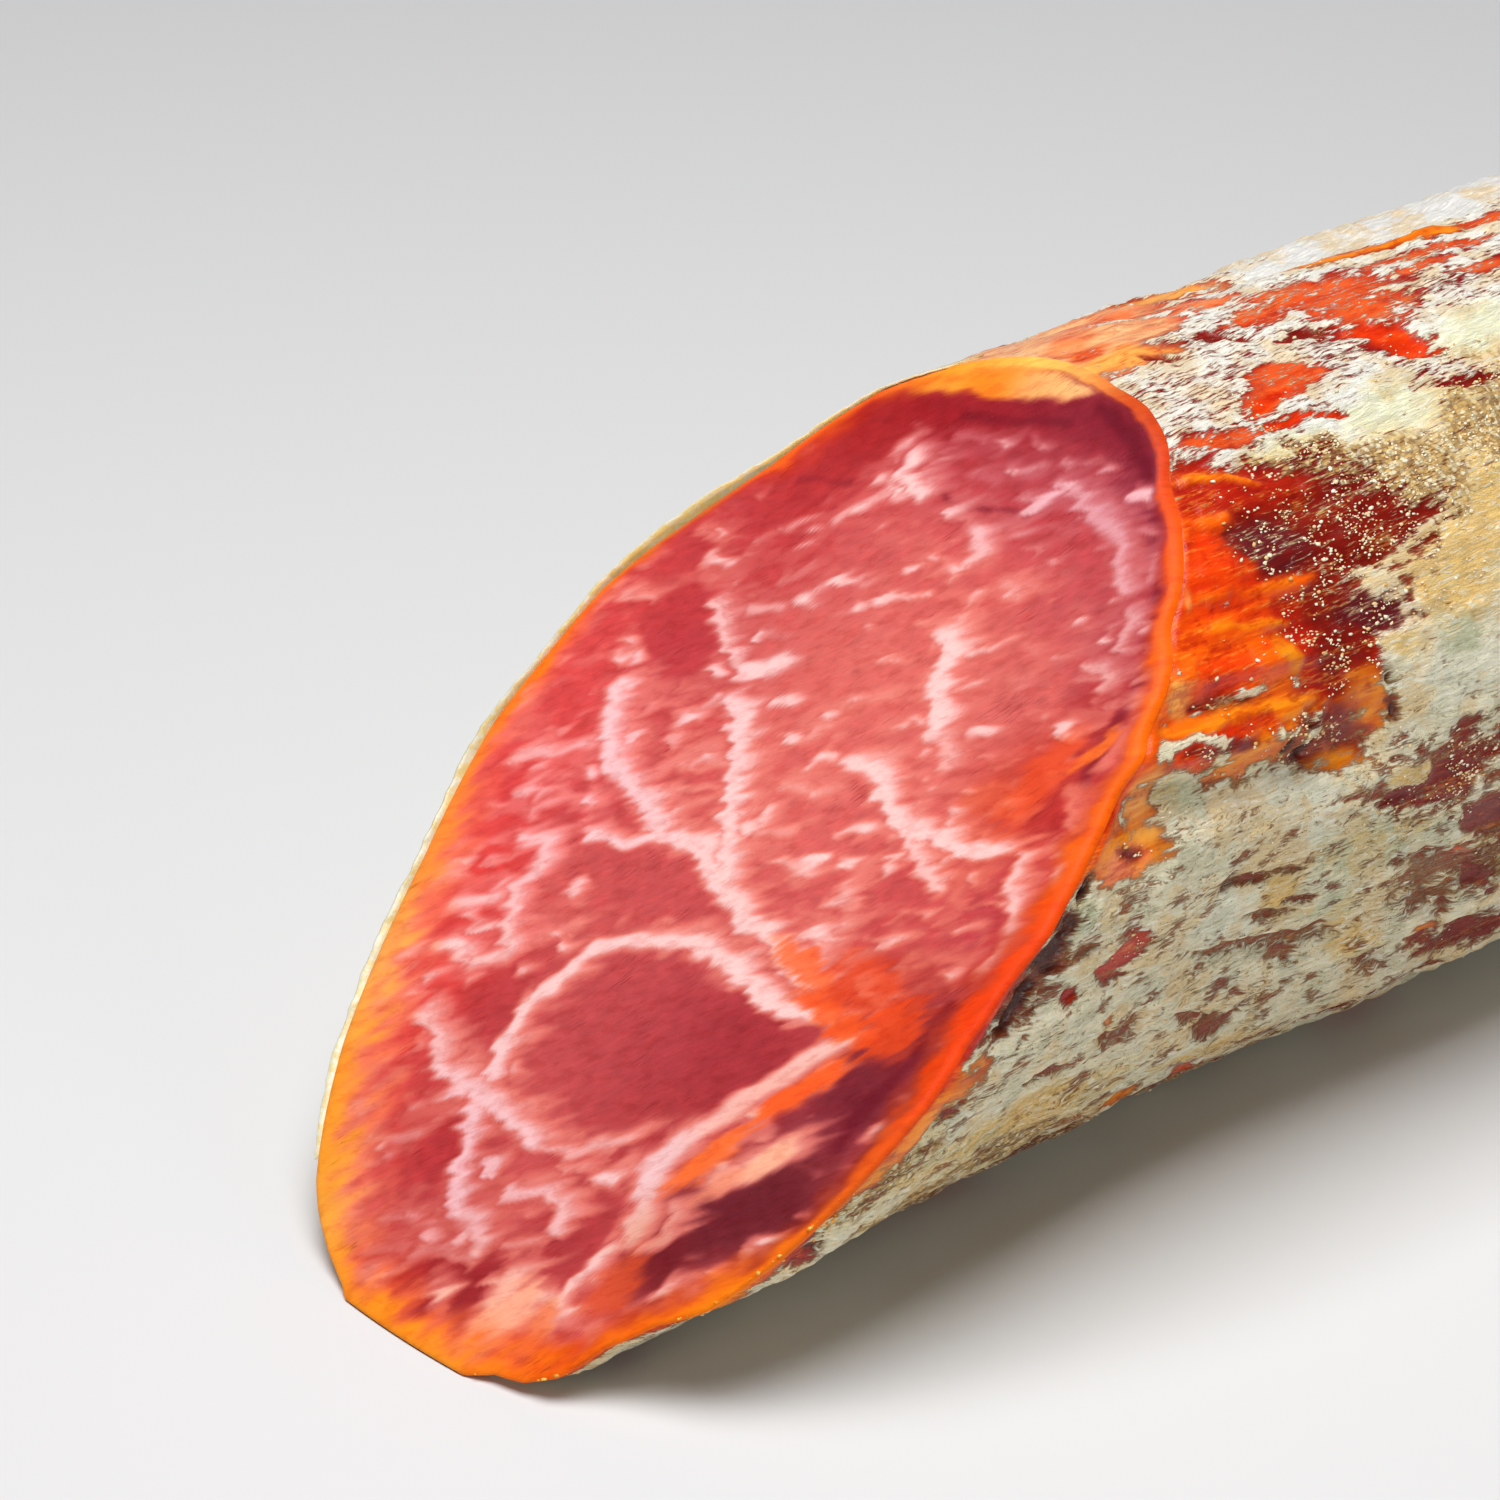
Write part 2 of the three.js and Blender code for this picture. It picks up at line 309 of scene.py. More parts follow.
# Fat seams on the cut: half width in mm, strength, and points across and up
SEAMS = [
    (1.2, 0.9, [(-11.8, 40.2), (-11, 38.2), (-8, 37)]),
    (1.0, 0.7, [(-11.5, 36), (-13, 34), (-14.5, 32)]),
    (1.9, 0.8, [(0.2, 36), (1.8, 34.5)]),
    (0.8, 0.4, [(-8, 43.6), (-5.5, 43.8)]),
    (1.0, 0.35, [(-3, 41.5), (-1.5, 41)]),
    (0.9, 0.5, [(-27, 26), (-24.5, 26)]),
    (0.7, 0.4, [(-24, 24), (-23.5, 23)]),
    (0.8, 0.6, [(-30.5, 17.2), (-27, 18.3)]),
    (1.1, 0.7, [(-17, 20.6), (-14, 22.3)]),
    (1.0, 0.8, [(-20.5, 20.5), (-18.5, 18.5), (-16, 17), (-13.5, 15.8)]),
    (1.4, 1.0, [(-13, 15.8), (-11, 16.4), (-10, 17.8)]),
    (1.5, 1.0, [(-12, 12.5), (-10, 12.3), (-8.8, 10.3)]),
    (1.05, 1.0, [(-8.8, 10), (-6.8, 7.2), (-5.5, 4.5), (-4, 2), (-2, 0), (0, -2.5)]),
    (1.2, 0.9, [(-24, 9.5), (-23, 6.5), (-21.5, 4.5), (-19, 2.5), (-16, 1.8), (-13, 0.5), (-10, -0.4)]),
    (0.9, 0.7, [(-29.5, -0.3), (-25, 1.8), (-23, 3.5)]),
    (1.2, 0.5, [(-14, 4.3), (-12.5, 6.5), (-11, 8)]),
    (1.0, 0.4, [(-18, 12), (-15.5, 12.8)]),
    (0.9, 0.4, [(-20, 9.3), (-17, 10.5)]),
    (0.9, 0.6, [(-1, 7.6), (2, 8.6)]),
    (0.75, 0.9, [(-16, -4), (-12, -3.2), (-9, -1)]),
    (1.2, 1.0, [(-9, -1), (-5, -0.6), (-2, -2), (0.5, -3)]),
    (1.3, 0.75, [(5, 43), (8, 42.5), (10.5, 41.8), (13, 41.3), (15, 39.8), (16.5, 38), (18.5, 36.8)]),
    (1.0, 0.7, [(20.5, 35), (21.5, 33.5), (22, 31.5)]),
    (0.8, 0.6, [(19.2, 40), (20.2, 38)]),
    (1.2, 0.6, [(6.5, 32.8), (9, 32.4)]),
    (0.8, 0.5, [(12.5, 28), (14.5, 28.3)]),
    (0.8, 0.7, [(20, 28.8), (23, 29), (22.8, 27.5)]),
    (1.5, 1.0, [(4, 26), (6, 25.3), (6.3, 23), (7.5, 21), (9, 19.3), (9.5, 18)]),
    (1.3, 0.7, [(10.5, 18), (12.3, 17), (13, 15.3)]),
    (1.1, 0.5, [(-1, 16.8), (1, 18.2), (3, 19.3)]),
    (1.2, 1.0, [(3.5, 12), (7.5, 12.8), (9, 11), (11.5, 9.4), (14, 8.8), (17, 9.3), (21, 9.5), (24, 10.5)]),
    (1.0, 0.8, [(14.5, 8.3), (16, 7), (18.5, 6.3), (20.5, 5.2)]),
    (1.0, 0.8, [(26.5, 11), (27.3, 8), (29.5, 6.5), (30.6, 4.5), (30.8, 1)]),
    (0.9, 0.4, [(25, -0.5), (28, 0.5)]),
    (0.9, 0.6, [(0, 3), (2.5, 4.3)]),
    (1.3, 1.0, [(0.5, -3), (5, -4.8), (9, -5.3), (12, -6.4), (15, -7.3)]),
    (1.1, 0.6, [(14.2, -1), (14, -3), (14.5, -6)]),
    (1.0, 0.4, [(23, -1), (22.5, -4)]),
    (1.0, 0.7, [(27.2, 33), (28.4, 30), (29.3, 26)]),
    (0.8, 0.5, [(28, 24.5), (28, 21)]),
    (0.9, 0.5, [(26.5, 18), (29.5, 15.2)]),
    (1.2, 0.8, [(30.9, 13), (31.8, 10)]),
    (1.0, 1.0, [(-9, -27), (-10, -24), (-10.3, -20), (-9, -16), (-7.8, -13), (-5, -11), (-2, -9.6)]),
    (1.2, 1.0, [(-2, -9.6), (1, -8.6), (4, -8.3), (7, -8.9), (10, -9.8), (13, -10.3)]),
    (1.0, 1.0, [(13, -10.3), (15.5, -10.5), (18, -9.6), (20, -9)]),
    (1.1, 0.5, [(-14, -14), (-11, -11.5)]),
    (1.2, 1.0, [(22, -10.5), (20, -13.5), (18, -17), (16, -20.5), (14.5, -23.5)]),
    (2.0, 1.0, [(13.8, -25), (13, -27.5), (13.8, -30)]),
    (1.5, 0.9, [(13.8, -30), (15, -32), (15.8, -34)]),
    (0.6, 0.9, [(14.4, -35.5), (13.6, -38.5), (13.2, -41)]),
    (0.9, 0.7, [(17.5, -30), (19, -32.5), (17.5, -34.5)]),
    (1.8, 0.8, [(19.8, -26.3), (21.8, -23.8), (24.3, -20.8)]),
    (0.8, 0.7, [(22.5, -13.8), (20.8, -17)]),
    (1.6, 0.9, [(7.6, -42), (7.2, -45), (7.8, -48.5)]),
    (1.0, 0.6, [(11.5, -43.5), (10.8, -45.5)]),
    (1.1, 0.9, [(-14.5, -29), (-11, -29.3), (-7, -29.6), (-3.5, -30.2), (0, -31)]),
    (0.9, 0.7, [(0, -30.5), (4, -30.2), (6, -28.3), (9, -26)]),
    (1.1, 0.9, [(-8.3, -30.5), (-6.5, -33.5), (-5, -37), (-2.5, -39.5)]),
    (1.6, 0.8, [(-2.5, -39.5), (0, -39.2), (2, -41.5)]),
    (1.1, 0.8, [(1, -36), (4, -34), (7, -34.5), (8.5, -36.5)]),
    (0.8, 0.6, [(4.5, -39.8), (7.5, -38)]),
    (0.9, 0.6, [(-3.5, -44), (-1, -42.5), (2, -43)]),
    (0.8, 0.6, [(-9.5, -43), (-6, -41.5)]),
    (0.8, 0.5, [(-8.5, -46), (-5, -44.3)]),
    (1.0, 0.8, [(-20, -25), (-17, -26.5), (-14.5, -28.8)]),
    (1.2, 0.8, [(-24.5, -15.3), (-21.5, -13)]),
    (1.1, 0.8, [(-20, -11), (-18, -14.5), (-16, -17), (-18.5, -19)]),
    (1.2, 0.8, [(-22.5, -7), (-20, -6.4), (-19, -8.5), (-20, -11)]),
    (0.8, 0.6, [(-17, -38), (-13, -36), (-11.5, -35)]),
    (0.7, 0.5, [(-11, -33), (-9.5, -31)]),
]
# Soft patches over the meat: across, up, half width, half height, turn, colour, strength
PATCHES = [
    (21.4, -16.2, 1.3, 6.0, -28, (248, 92, 34), 0.95),
    (17.6, -24.6, 1.4, 4.8, -20, (250, 112, 50), 0.95),
    (19.8, -9.0, 6.0, 1.6, -6, (246, 84, 28), 0.8),
    (13.5, -6.0, 5.5, 1.5, -14, (246, 96, 44), 0.8),
    (20.5, -5.2, 4.5, 3.0, -10, (226, 70, 34), 0.75),
    (26.0, -7.5, 3.0, 3.4, 0, (236, 74, 26), 0.8),
    (23.2, 18.0, 2.2, 6.0, -8, (232, 78, 38), 0.75),
    (26.4, 22.5, 0.7, 3.4, -16, (252, 118, 44), 0.85),
    (19.5, 14.5, 3.4, 2.2, 20, (226, 92, 58), 0.5),
    (23.0, -22.8, 1.4, 3.9, -34, (250, 178, 146), 1.0),
    (20.2, -26.4, 1.2, 3.0, -30, (240, 140, 110), 0.8),
    (9.4, -45.2, 1.9, 4.6, -4, (252, 172, 140), 0.95),
    (13.2, -44.4, 1.5, 3.2, 6, (250, 140, 92), 0.8),
    (17.4, -38.4, 2.2, 4.0, -10, (226, 84, 44), 0.75),
]
# Dark lines on the cut: half width, strength, and points across and up
DARK_LINES = [
    (1.1, 0.8, [(4, 51), (9, 49.6), (14, 46), (18, 42), (21.6, 37.6), (24.6, 32.8)]),
    (0.8, 0.6, [(24.6, 32.8), (26.2, 29), (26.6, 24), (27.4, 19)]),
    (0.7, 0.5, [(-9, 45.6), (-3, 47), (1.5, 48.6)]),
    (0.35, 0.6, [(-6, 38), (-2, 37.6), (1, 38.8), (4, 39.4)]),
    (0.4, 0.4, [(-21, 34), (-16, 35.5)]),
    (1.0, 0.6, [(30, -4), (29.8, -9), (28.6, -14), (28.5, -19)]),
    (0.35, 0.5, [(19.4, -19.6), (22, -16.8)]),
]
# Meat: across, up, half width, half height, turn, colour, weight
MEAT_BASE = (208, 90, 88)
MEATS = [
    (5, 49.6, 13, 3, 0, (122, 20, 40), 1.4),
    (-9, 45.5, 7, 3, 10, (146, 16, 26), 1.6),
    (-17, 41, 4, 4.5, -30, (156, 22, 24), 1.5),
    (2, 44, 10, 3, 0, (170, 62, 72), 1.3),
    (13, 45.5, 4, 3, -40, (136, 44, 66), 1.2),
    (-2, 39, 14, 3, 0, (184, 62, 70), 1.0),
    (-20, 33, 4, 5, -20, (176, 42, 46), 1.2),
    (-17, 28, 4, 5, 0, (190, 56, 60), 1.1),
    (-25, 21, 5, 6, 10, (190, 56, 60), 1.2),
    (-20, 15, 5, 5, 0, (186, 56, 64), 1.1),
    (-29, 10, 3.5, 9, 0, (222, 74, 72), 1.1),
    (-28, -3, 4, 7, -5, (226, 72, 70), 1.3),
    (-25, -12, 4, 7, -15, (230, 66, 62), 1.3),
    (-22, -26, 4, 8, -28, (232, 66, 60), 1.4),
    (-16, -36, 5, 4, -40, (222, 74, 66), 1.2),
    (-15, 8, 5, 5, 0, (204, 82, 80), 1.0),
    (-20, -3, 6, 3, 10, (200, 74, 76), 1.1),
    (-8, 30, 8, 6, 0, (206, 92, 90), 1.0),
    (1, 20, 11, 8, 0, (222, 112, 102), 1.4),
    (14, 24, 6, 7, 0, (212, 106, 98), 1.1),
    (15, 34, 4.5, 4, 0, (192, 80, 84), 1.1),
    (21, 33, 3, 5, 20, (164, 52, 66), 1.4),
    (24, 26, 2.5, 7, 10, (170, 46, 48), 1.3),
    (22, 17, 4, 4, 0, (200, 62, 42), 1.2),
    (27, 15, 3, 5, 0, (184, 44, 42), 1.4),
    (4, 7, 10, 6, 0, (220, 106, 100), 1.2),
    (21, 4, 6, 5, 0, (202, 78, 78), 1.2),
    (27, 4, 3, 4, 0, (190, 66, 72), 1.1),
    (-6, -5.6, 8, 3, 5, (202, 84, 84), 1.5),
    (-14, -9, 4, 4, 0, (206, 88, 84), 1.0),
    (-14, -22, 4, 5, 0, (184, 58, 62), 1.4),
    (-3, -20, 6, 7, 0, (194, 78, 80), 1.8),
    (5, -18, 6, 7, 0, (180, 66, 72), 1.8),
    (13, -16, 6, 5.5, 0, (164, 48, 56), 2.2),
    (10, -24, 5, 3.5, 0, (176, 60, 62), 1.5),
    (-4, -27, 5, 3, 0, (204, 88, 86), 1.2),
    (-8, -35, 4, 4, 0, (180, 50, 55), 1.4),
    (-13, -32, 3, 2.5, 0, (192, 56, 58), 1.1),
    (10, -36, 3.5, 4.5, 0, (176, 56, 60), 1.4),
    (2, -45, 5, 3, 10, (150, 32, 38), 1.8),
    (-4, -46.5, 4, 2.5, 0, (196, 44, 34), 1.2),
    (24, -4, 4, 3, 0, (184, 62, 52), 1.4),
    (28, -8, 3, 4, 0, (138, 40, 46), 2.0),
    (27, -14, 3.5, 4, 0, (112, 32, 46), 2.4),
    (25, -18, 3, 3, 0, (138, 46, 58), 1.2),
    (26, -25, 4, 4, 45, (104, 30, 40), 3.0),
    (22, -29, 4, 3, 40, (104, 30, 42), 3.0),
    (19.5, -34, 2.5, 3, 0, (112, 26, 34), 3.0),
    (23, -12, 2, 3, -30, (140, 42, 50), 1.2),
]
# Fat, both where it is pale and where it only tints the meat: ovals as above
PALE_BASE = (248, 204, 200)
PALES = [
    (-20, 2, 10, 12, 0, (242, 194, 204), 0.6),
    (-8, -36, 14, 8, 0, (240, 186, 198), 0.8),
    (12, 40, 10, 5, 0, (226, 164, 178), 1.2),
    (13.5, -28, 3, 4, 0, (240, 200, 206), 1.2),
    (21, -20, 4, 8, -30, (240, 160, 138), 1.5),
    (17, -33, 3, 3, 0, (226, 150, 120), 1.2),
    (8, -46, 6, 4, 0, (250, 172, 134), 1.6),
    (28, 29, 3, 7, 0, (230, 140, 122), 1.2),
    (28, 20, 3, 4, 0, (206, 132, 142), 1.0),
    (-10, -43, 6, 4, 0, (240, 140, 140), 1.0),
]
HAZE_BASE = (230, 125, 112)
HAZES = [
    (-24, -6, 8, 14, 0, (242, 128, 128), 1.0),
    (-10, -40, 11, 6, 0, (202, 86, 80), 1.8),
    (4, 44, 16, 6, 0, (180, 84, 98), 1.5),
    (-16, 32, 9, 9, 0, (202, 84, 84), 1.4),
    (-13, 21, 7, 7, 0, (202, 92, 90), 1.6),
    (17, 24, 6, 8, 0, (210, 98, 92), 1.2),
    (22, 34, 5, 8, 0, (186, 88, 96), 1.2),
    (23, 16, 5, 8, 0, (226, 100, 70), 1.0),
    (24, -6, 6, 5, 0, (214, 96, 72), 1.0),
]
# Where the meat is smooth, with few flecks of fat: across, up, half width, half height, turn
SMOOTH_MEATS = [
    (0, -18, 9.5, 7.6, 0),
    (11, -17, 6.5, 6.5, 0),
    (5, -24, 9, 3.5, 0),
    (17, -14, 3.5, 5, -35),
    (-6, -5.4, 9, 2.4, 3),
    (27, -12, 3.5, 9, 0),
    (23.5, -27.5, 7, 3.6, 42),
    (19, -35, 2.6, 4, 0),
    (31.5, 3, 2.5, 9, 0),
    (4, 50, 14, 3.5, 0),
    (-10, 46, 8, 2.6, 10),
    (-18, 41, 4, 5, -30),
    (-20, 34, 3, 6, -20),
    (-22, 17, 4, 4, 0),
    (-24, 29, 3, 2, 0),
    (-14, -22, 3.2, 3.6, 0),
    (-8, -35.4, 3, 2.8, 0),
    (10.5, -36, 2.6, 4.5, 0),
]
# The orange zone inside the rim: angle round the cut, width in mm, colour at the rim and further in. Its
# bright orange is partly the rim's own orange fat and partly a painted glow of light through the thin rim.
RIM_ZONE = [
    (-180, 3.4, (255, 148, 28), (246, 104, 52)),
    (-164, 4.0, (255, 150, 34), (250, 122, 74)),
    (-152, 5.8, (255, 168, 60), (254, 148, 106)),
    (-142, 6.4, (255, 160, 44), (250, 138, 90)),
    (-131, 6.0, (255, 156, 44), (250, 136, 94)),
    (-120, 5.2, (254, 172, 84), (252, 132, 98)),
    (-108, 4.6, (253, 150, 56), (250, 122, 90)),
    (-97, 3.0, (254, 136, 44), (248, 110, 84)),
    (-85, 2.2, (255, 124, 24), (250, 110, 76)),
    (-72, 1.3, (250, 110, 24), (240, 96, 60)),
    (-62, 0.8, (206, 100, 44), (205, 60, 50)),
    (-55, 1.0, (214, 90, 36), (200, 56, 40)),
    (-49, 1.8, (236, 96, 30), (204, 50, 30)),
    (-41, 2.4, (240, 100, 24), (214, 58, 24)),
    (-33, 1.6, (226, 92, 28), (180, 40, 24)),
    (-22, 1.4, (252, 150, 40), (240, 120, 30)),
    (-8, 0.8, (252, 196, 90), (240, 150, 70)),
    (2, 0.7, (236, 160, 80), (140, 40, 40)),
    (12, 0.6, (200, 76, 24), (110, 16, 34)),
    (25, 0.7, (214, 66, 20), (120, 20, 40)),
    (38, 1.2, (240, 88, 2), (176, 40, 34)),
    (50, 1.5, (246, 100, 2), (204, 66, 34)),
    (64, 1.6, (248, 106, 2), (216, 84, 40)),
    (76, 2.4, (244, 92, 2), (222, 84, 34)),
    (85, 3.2, (240, 70, 8), (196, 58, 36)),
    (94, 3.4, (242, 64, 8), (188, 54, 28)),
    (102, 2.8, (240, 70, 8), (170, 50, 24)),
    (112, 1.8, (232, 92, 14), (144, 38, 24)),
    (122, 1.9, (244, 116, 14), (170, 50, 16)),
    (131, 3.0, (255, 134, 10), (232, 90, 16)),
    (140, 2.4, (252, 112, 8), (200, 60, 16)),
    (150, 3.0, (244, 100, 10), (220, 60, 16)),
    (160, 4.2, (255, 120, 18), (246, 100, 40)),
    (171, 3.6, (255, 152, 36), (250, 116, 56)),
]
# The cap of fat at the top of the cut: its lower edge, across and up, and its colours
CAP_EDGE = [(-18, 45.4), (-15.5, 45.8), (-11, 47.2), (-8, 47.8), (-5.5, 48.6), (-3, 49.4), (0, 50.2),
            (3, 52.6)]
CAP_BASE = (246, 150, 60)
CAPS = [
    (-14, 47.5, 3, 2, 20, (246, 160, 50), 1.5),
    (-9, 50, 3, 2.5, 10, (246, 128, 24), 2.0),
    (-4, 50.5, 3, 1.8, 0, (248, 178, 112), 2.0),
    (0.5, 52, 3, 1.6, 0, (246, 192, 130), 2.0),
]

# Noise on the cut: turn in degrees, size in mm along and across it, seed, layers
CUT_NOISES = {
    "bend across": (0, 2.8, 1, 1),
    "bend up": (0, 2.8, 2, 1),
    "tooth": (42, (5.0, 1.0), 13, 2),
    "patch": (0, 8.0, 61, 2),
    "reach": (42, (6, 1.1), 17, 1),
    "fleck": (30, (3.6, 2.2), 81, 2),
    "seam width": (0, 2.6, 12, 1),
    "haze": (38, (5.0, 2.8), 71, 2),
    "fibre": (50, (2.6, 0.34), 91, 2),
    "grain": (0, 1.6, 95, 2),
    "dark width": (0, 1.6, 14, 1),
    "streak": (62, (4.0, 0.7), 23, 2),
    "strand": (62, (6, 1.5), 27, 2),
    "blotch": (0, 3.0, 28, 1),
    "glow": (62, (4.0, 0.9), 29, 2),
    "thread": (50, (1.8, 0.5), 55, 2),
}
BEND = 0.5  # mm by which the painted shapes are bent
TOOTH = 1.0  # length of the teeth along their edges
FLECK_TURN = 42  # degrees by which the fat feathers out from its seams
FLECK_TURN_LOW = (12, 4, 36)  # more turn towards the low end: degrees, from mm, to mm
FLECK_TURN_FAR = (18, 8, 28)  # and towards the far side
FLECK_REACH = 2.6
SEAM_REACH = 5.2
SEAM_WIDEN = (1.15, 0.4)  # mean, and how much it varies
HAZE_STRENGTH = 0.4
FLECK_STRENGTH = 0.52
MEAT_TINT = (0.98, 0.93, 0.94)
BASE_WEIGHT = 0.5  # weight of a base colour among its ovals
STRONG_BASE_WEIGHT = 0.3
DARK_LINE = (100, 14, 32)
ZONE_WIDEN = 1.25


def by_angle(angle, rows, column):
    """A column of a table whose first column is an angle, read at any angles in radians."""
    angles = [row[0] for row in rows]
    values = np.array([row[column] for row in rows], float)
    if values.ndim == 1:
        return np.interp(np.degrees(angle), angles, values, period=WHOLE_TURN)
    parts = [np.interp(np.degrees(angle), angles, part, period=WHOLE_TURN) for part in values.T]
    return np.column_stack(parts)


def line_field(place, lines, widen):
    """Strength of soft-edged lines at (n, 2) places: full in their middles, 0 at their edges."""
    total = np.zeros(len(place))
    for half, strength, path in lines:
        reach = half * 1.6 * np.max(widen)
        low, high = np.min(path, axis=0) - reach, np.max(path, axis=0) + reach
        rows = np.nonzero(((place > low) & (place < high)).all(axis=1))[0]
        distance = path_distance(place[rows], path)
        value = strength * (1 - smooth(distance / (half * widen[rows]), 0.1, 1.35))
        total[rows] = np.maximum(total[rows], value)
    return total


def fleck_heading(place):
    """Unit vectors in which the fat feathers out."""
    across, up = place.T
    more_low, *low = FLECK_TURN_LOW
    more_far, *far = FLECK_TURN_FAR
    turn = np.radians(FLECK_TURN + more_low * smooth(-up, *low) + more_far * smooth(-across, *far))
    return np.column_stack([np.cos(turn), np.sin(turn)])


def trailed(field, place, heading, reach, steps):
    """A field that fades out ahead of its shapes, over a reach in mm, and keeps their rear edges sharp."""
    total = field(place)
    for step in range(1, steps):
        share = step / steps
        behind = place - heading * (reach * share)[:, None]
        total = np.maximum(total, (1 - share) ** 1.3 * field(behind))
    return total


def cut_noise(name, place):
    """One of the noises of the cut, at (n, 2) places."""
    turn, sizes, seed, layers = CUT_NOISES[name]
    c, s = math.cos(math.radians(turn)), math.sin(math.radians(turn))
    turned = np.column_stack([place @ (c, s), place @ (-s, c)])
    return layered_noise(np.column_stack([turned / sizes, np.zeros(len(place))]), seed, layers)


def cut_fat(place, toothed, heading, smooth_meat):
    """Share of fat on the cut: its seams, and flecks and hazes between them where the meat isn't smooth."""
    patch = cut_noise("patch", place)
    uneven = 0.6 + 0.8 * smooth(cut_noise("reach", place), -0.5, 0.5)
    mean_width, width_change = SEAM_WIDEN
    widen = mean_width + width_change * cut_noise("seam width", place)

    def flecks(where):
        return smooth(cut_noise("fleck", where) + 0.35 * patch, 0.05, 0.62)

    def seams(where):
        return line_field(where + (toothed - place), SEAMS, widen)

    haze = smooth(cut_noise("haze", toothed), -0.3, 0.4)
    fleck = trailed(flecks, toothed, heading, FLECK_REACH * uneven, 6)
    seam = trailed(seams, place, heading, SEAM_REACH * uneven, 9)
    between = (HAZE_STRENGTH * haze * (0.8 + 0.5 * patch) + FLECK_STRENGTH * fleck) * (1 - smooth_meat)
    return np.maximum(between, seam)


def meat_colour(place, bent, toothed, fat):
    """Colours of the meat, covered by its fat."""
    colour = blend_colours(bent, MEAT_BASE, STRONG_BASE_WEIGHT, MEATS) * MEAT_TINT
    colour *= (1 + 0.05 * cut_noise("fibre", place) + 0.05 * cut_noise("grain", place))[:, None]
    dark = line_field(bent, DARK_LINES, 1 + 0.5 * cut_noise("dark width", place))
    colour = mixed(0.85 * dark, colour, np.array(DARK_LINE) / 255)
    haze_colour = blend_colours(place, HAZE_BASE, BASE_WEIGHT, HAZES)
    pale_colour = blend_colours(place, PALE_BASE, BASE_WEIGHT, PALES)
    colour = mixed(0.86 * smooth(fat, 0.04, 0.5), colour, haze_colour)
    colour = mixed(0.95 * smooth(fat, 0.4, 0.95), colour, pale_colour)
    streaks = cut_noise("streak", place)
    for *oval, paint, strength in PATCHES:
        inside = 1 - oval_distance(toothed, *oval) + 0.35 * streaks
        colour = mixed(strength * smooth(inside, -0.25, 0.5), colour, np.array(paint) / 255)
    return colour


def cut_paint(place, gap, angle):
    """Colours of the cut and share of fat, at places that are gap mm inside the rim."""
    heading = fleck_heading(place)
    bent = place + BEND * np.column_stack([cut_noise("bend across", place), cut_noise("bend up", place)])
    tooth = cut_noise("tooth", place)
    toothed = bent + TOOTH * tooth[:, None] * heading
    ovals = np.array([oval_distance(bent, *oval) for oval in SMOOTH_MEATS]).min(axis=0)
    fat = cut_fat(place, toothed, heading, 1 - smooth(ovals, 0.8, 1.25))
    colour = meat_colour(place, bent, toothed, fat)

    # The cap of fat, and the orange zone along the rim, which is partly a painted glow
    across, up = zip(*CAP_EDGE)
    cap = bent[:, 1] - np.interp(bent[:, 0], across, up, left=60, right=60) + 0.3 * tooth
    cap_colour = blend_colours(place, CAP_BASE, STRONG_BASE_WEIGHT, CAPS)
    colour = mixed(smooth(cap, -0.3, 0.7), colour, cap_colour)
    depth = gap / by_angle(angle, RIM_ZONE, 1) / ZONE_WIDEN
    strands = 0.34 * cut_noise("strand", place) + 0.4 * cut_noise("blotch", place) + 0.1 * tooth
    depth = depth + strands * smooth(depth, 0, 0.6)
    outer, inner = by_angle(angle, RIM_ZONE, 2) / 255, by_angle(angle, RIM_ZONE, 3) / 255
    zone = mixed(smooth(depth, 0.1, 0.8), outer, inner)
    glow = 1 + 0.05 * cut_noise("glow", place)
    colour = mixed(0.96 * (1 - smooth(depth, 0.2, 1.45)), colour, zone * glow[:, None])
    return np.clip(colour, 0, 1), fat


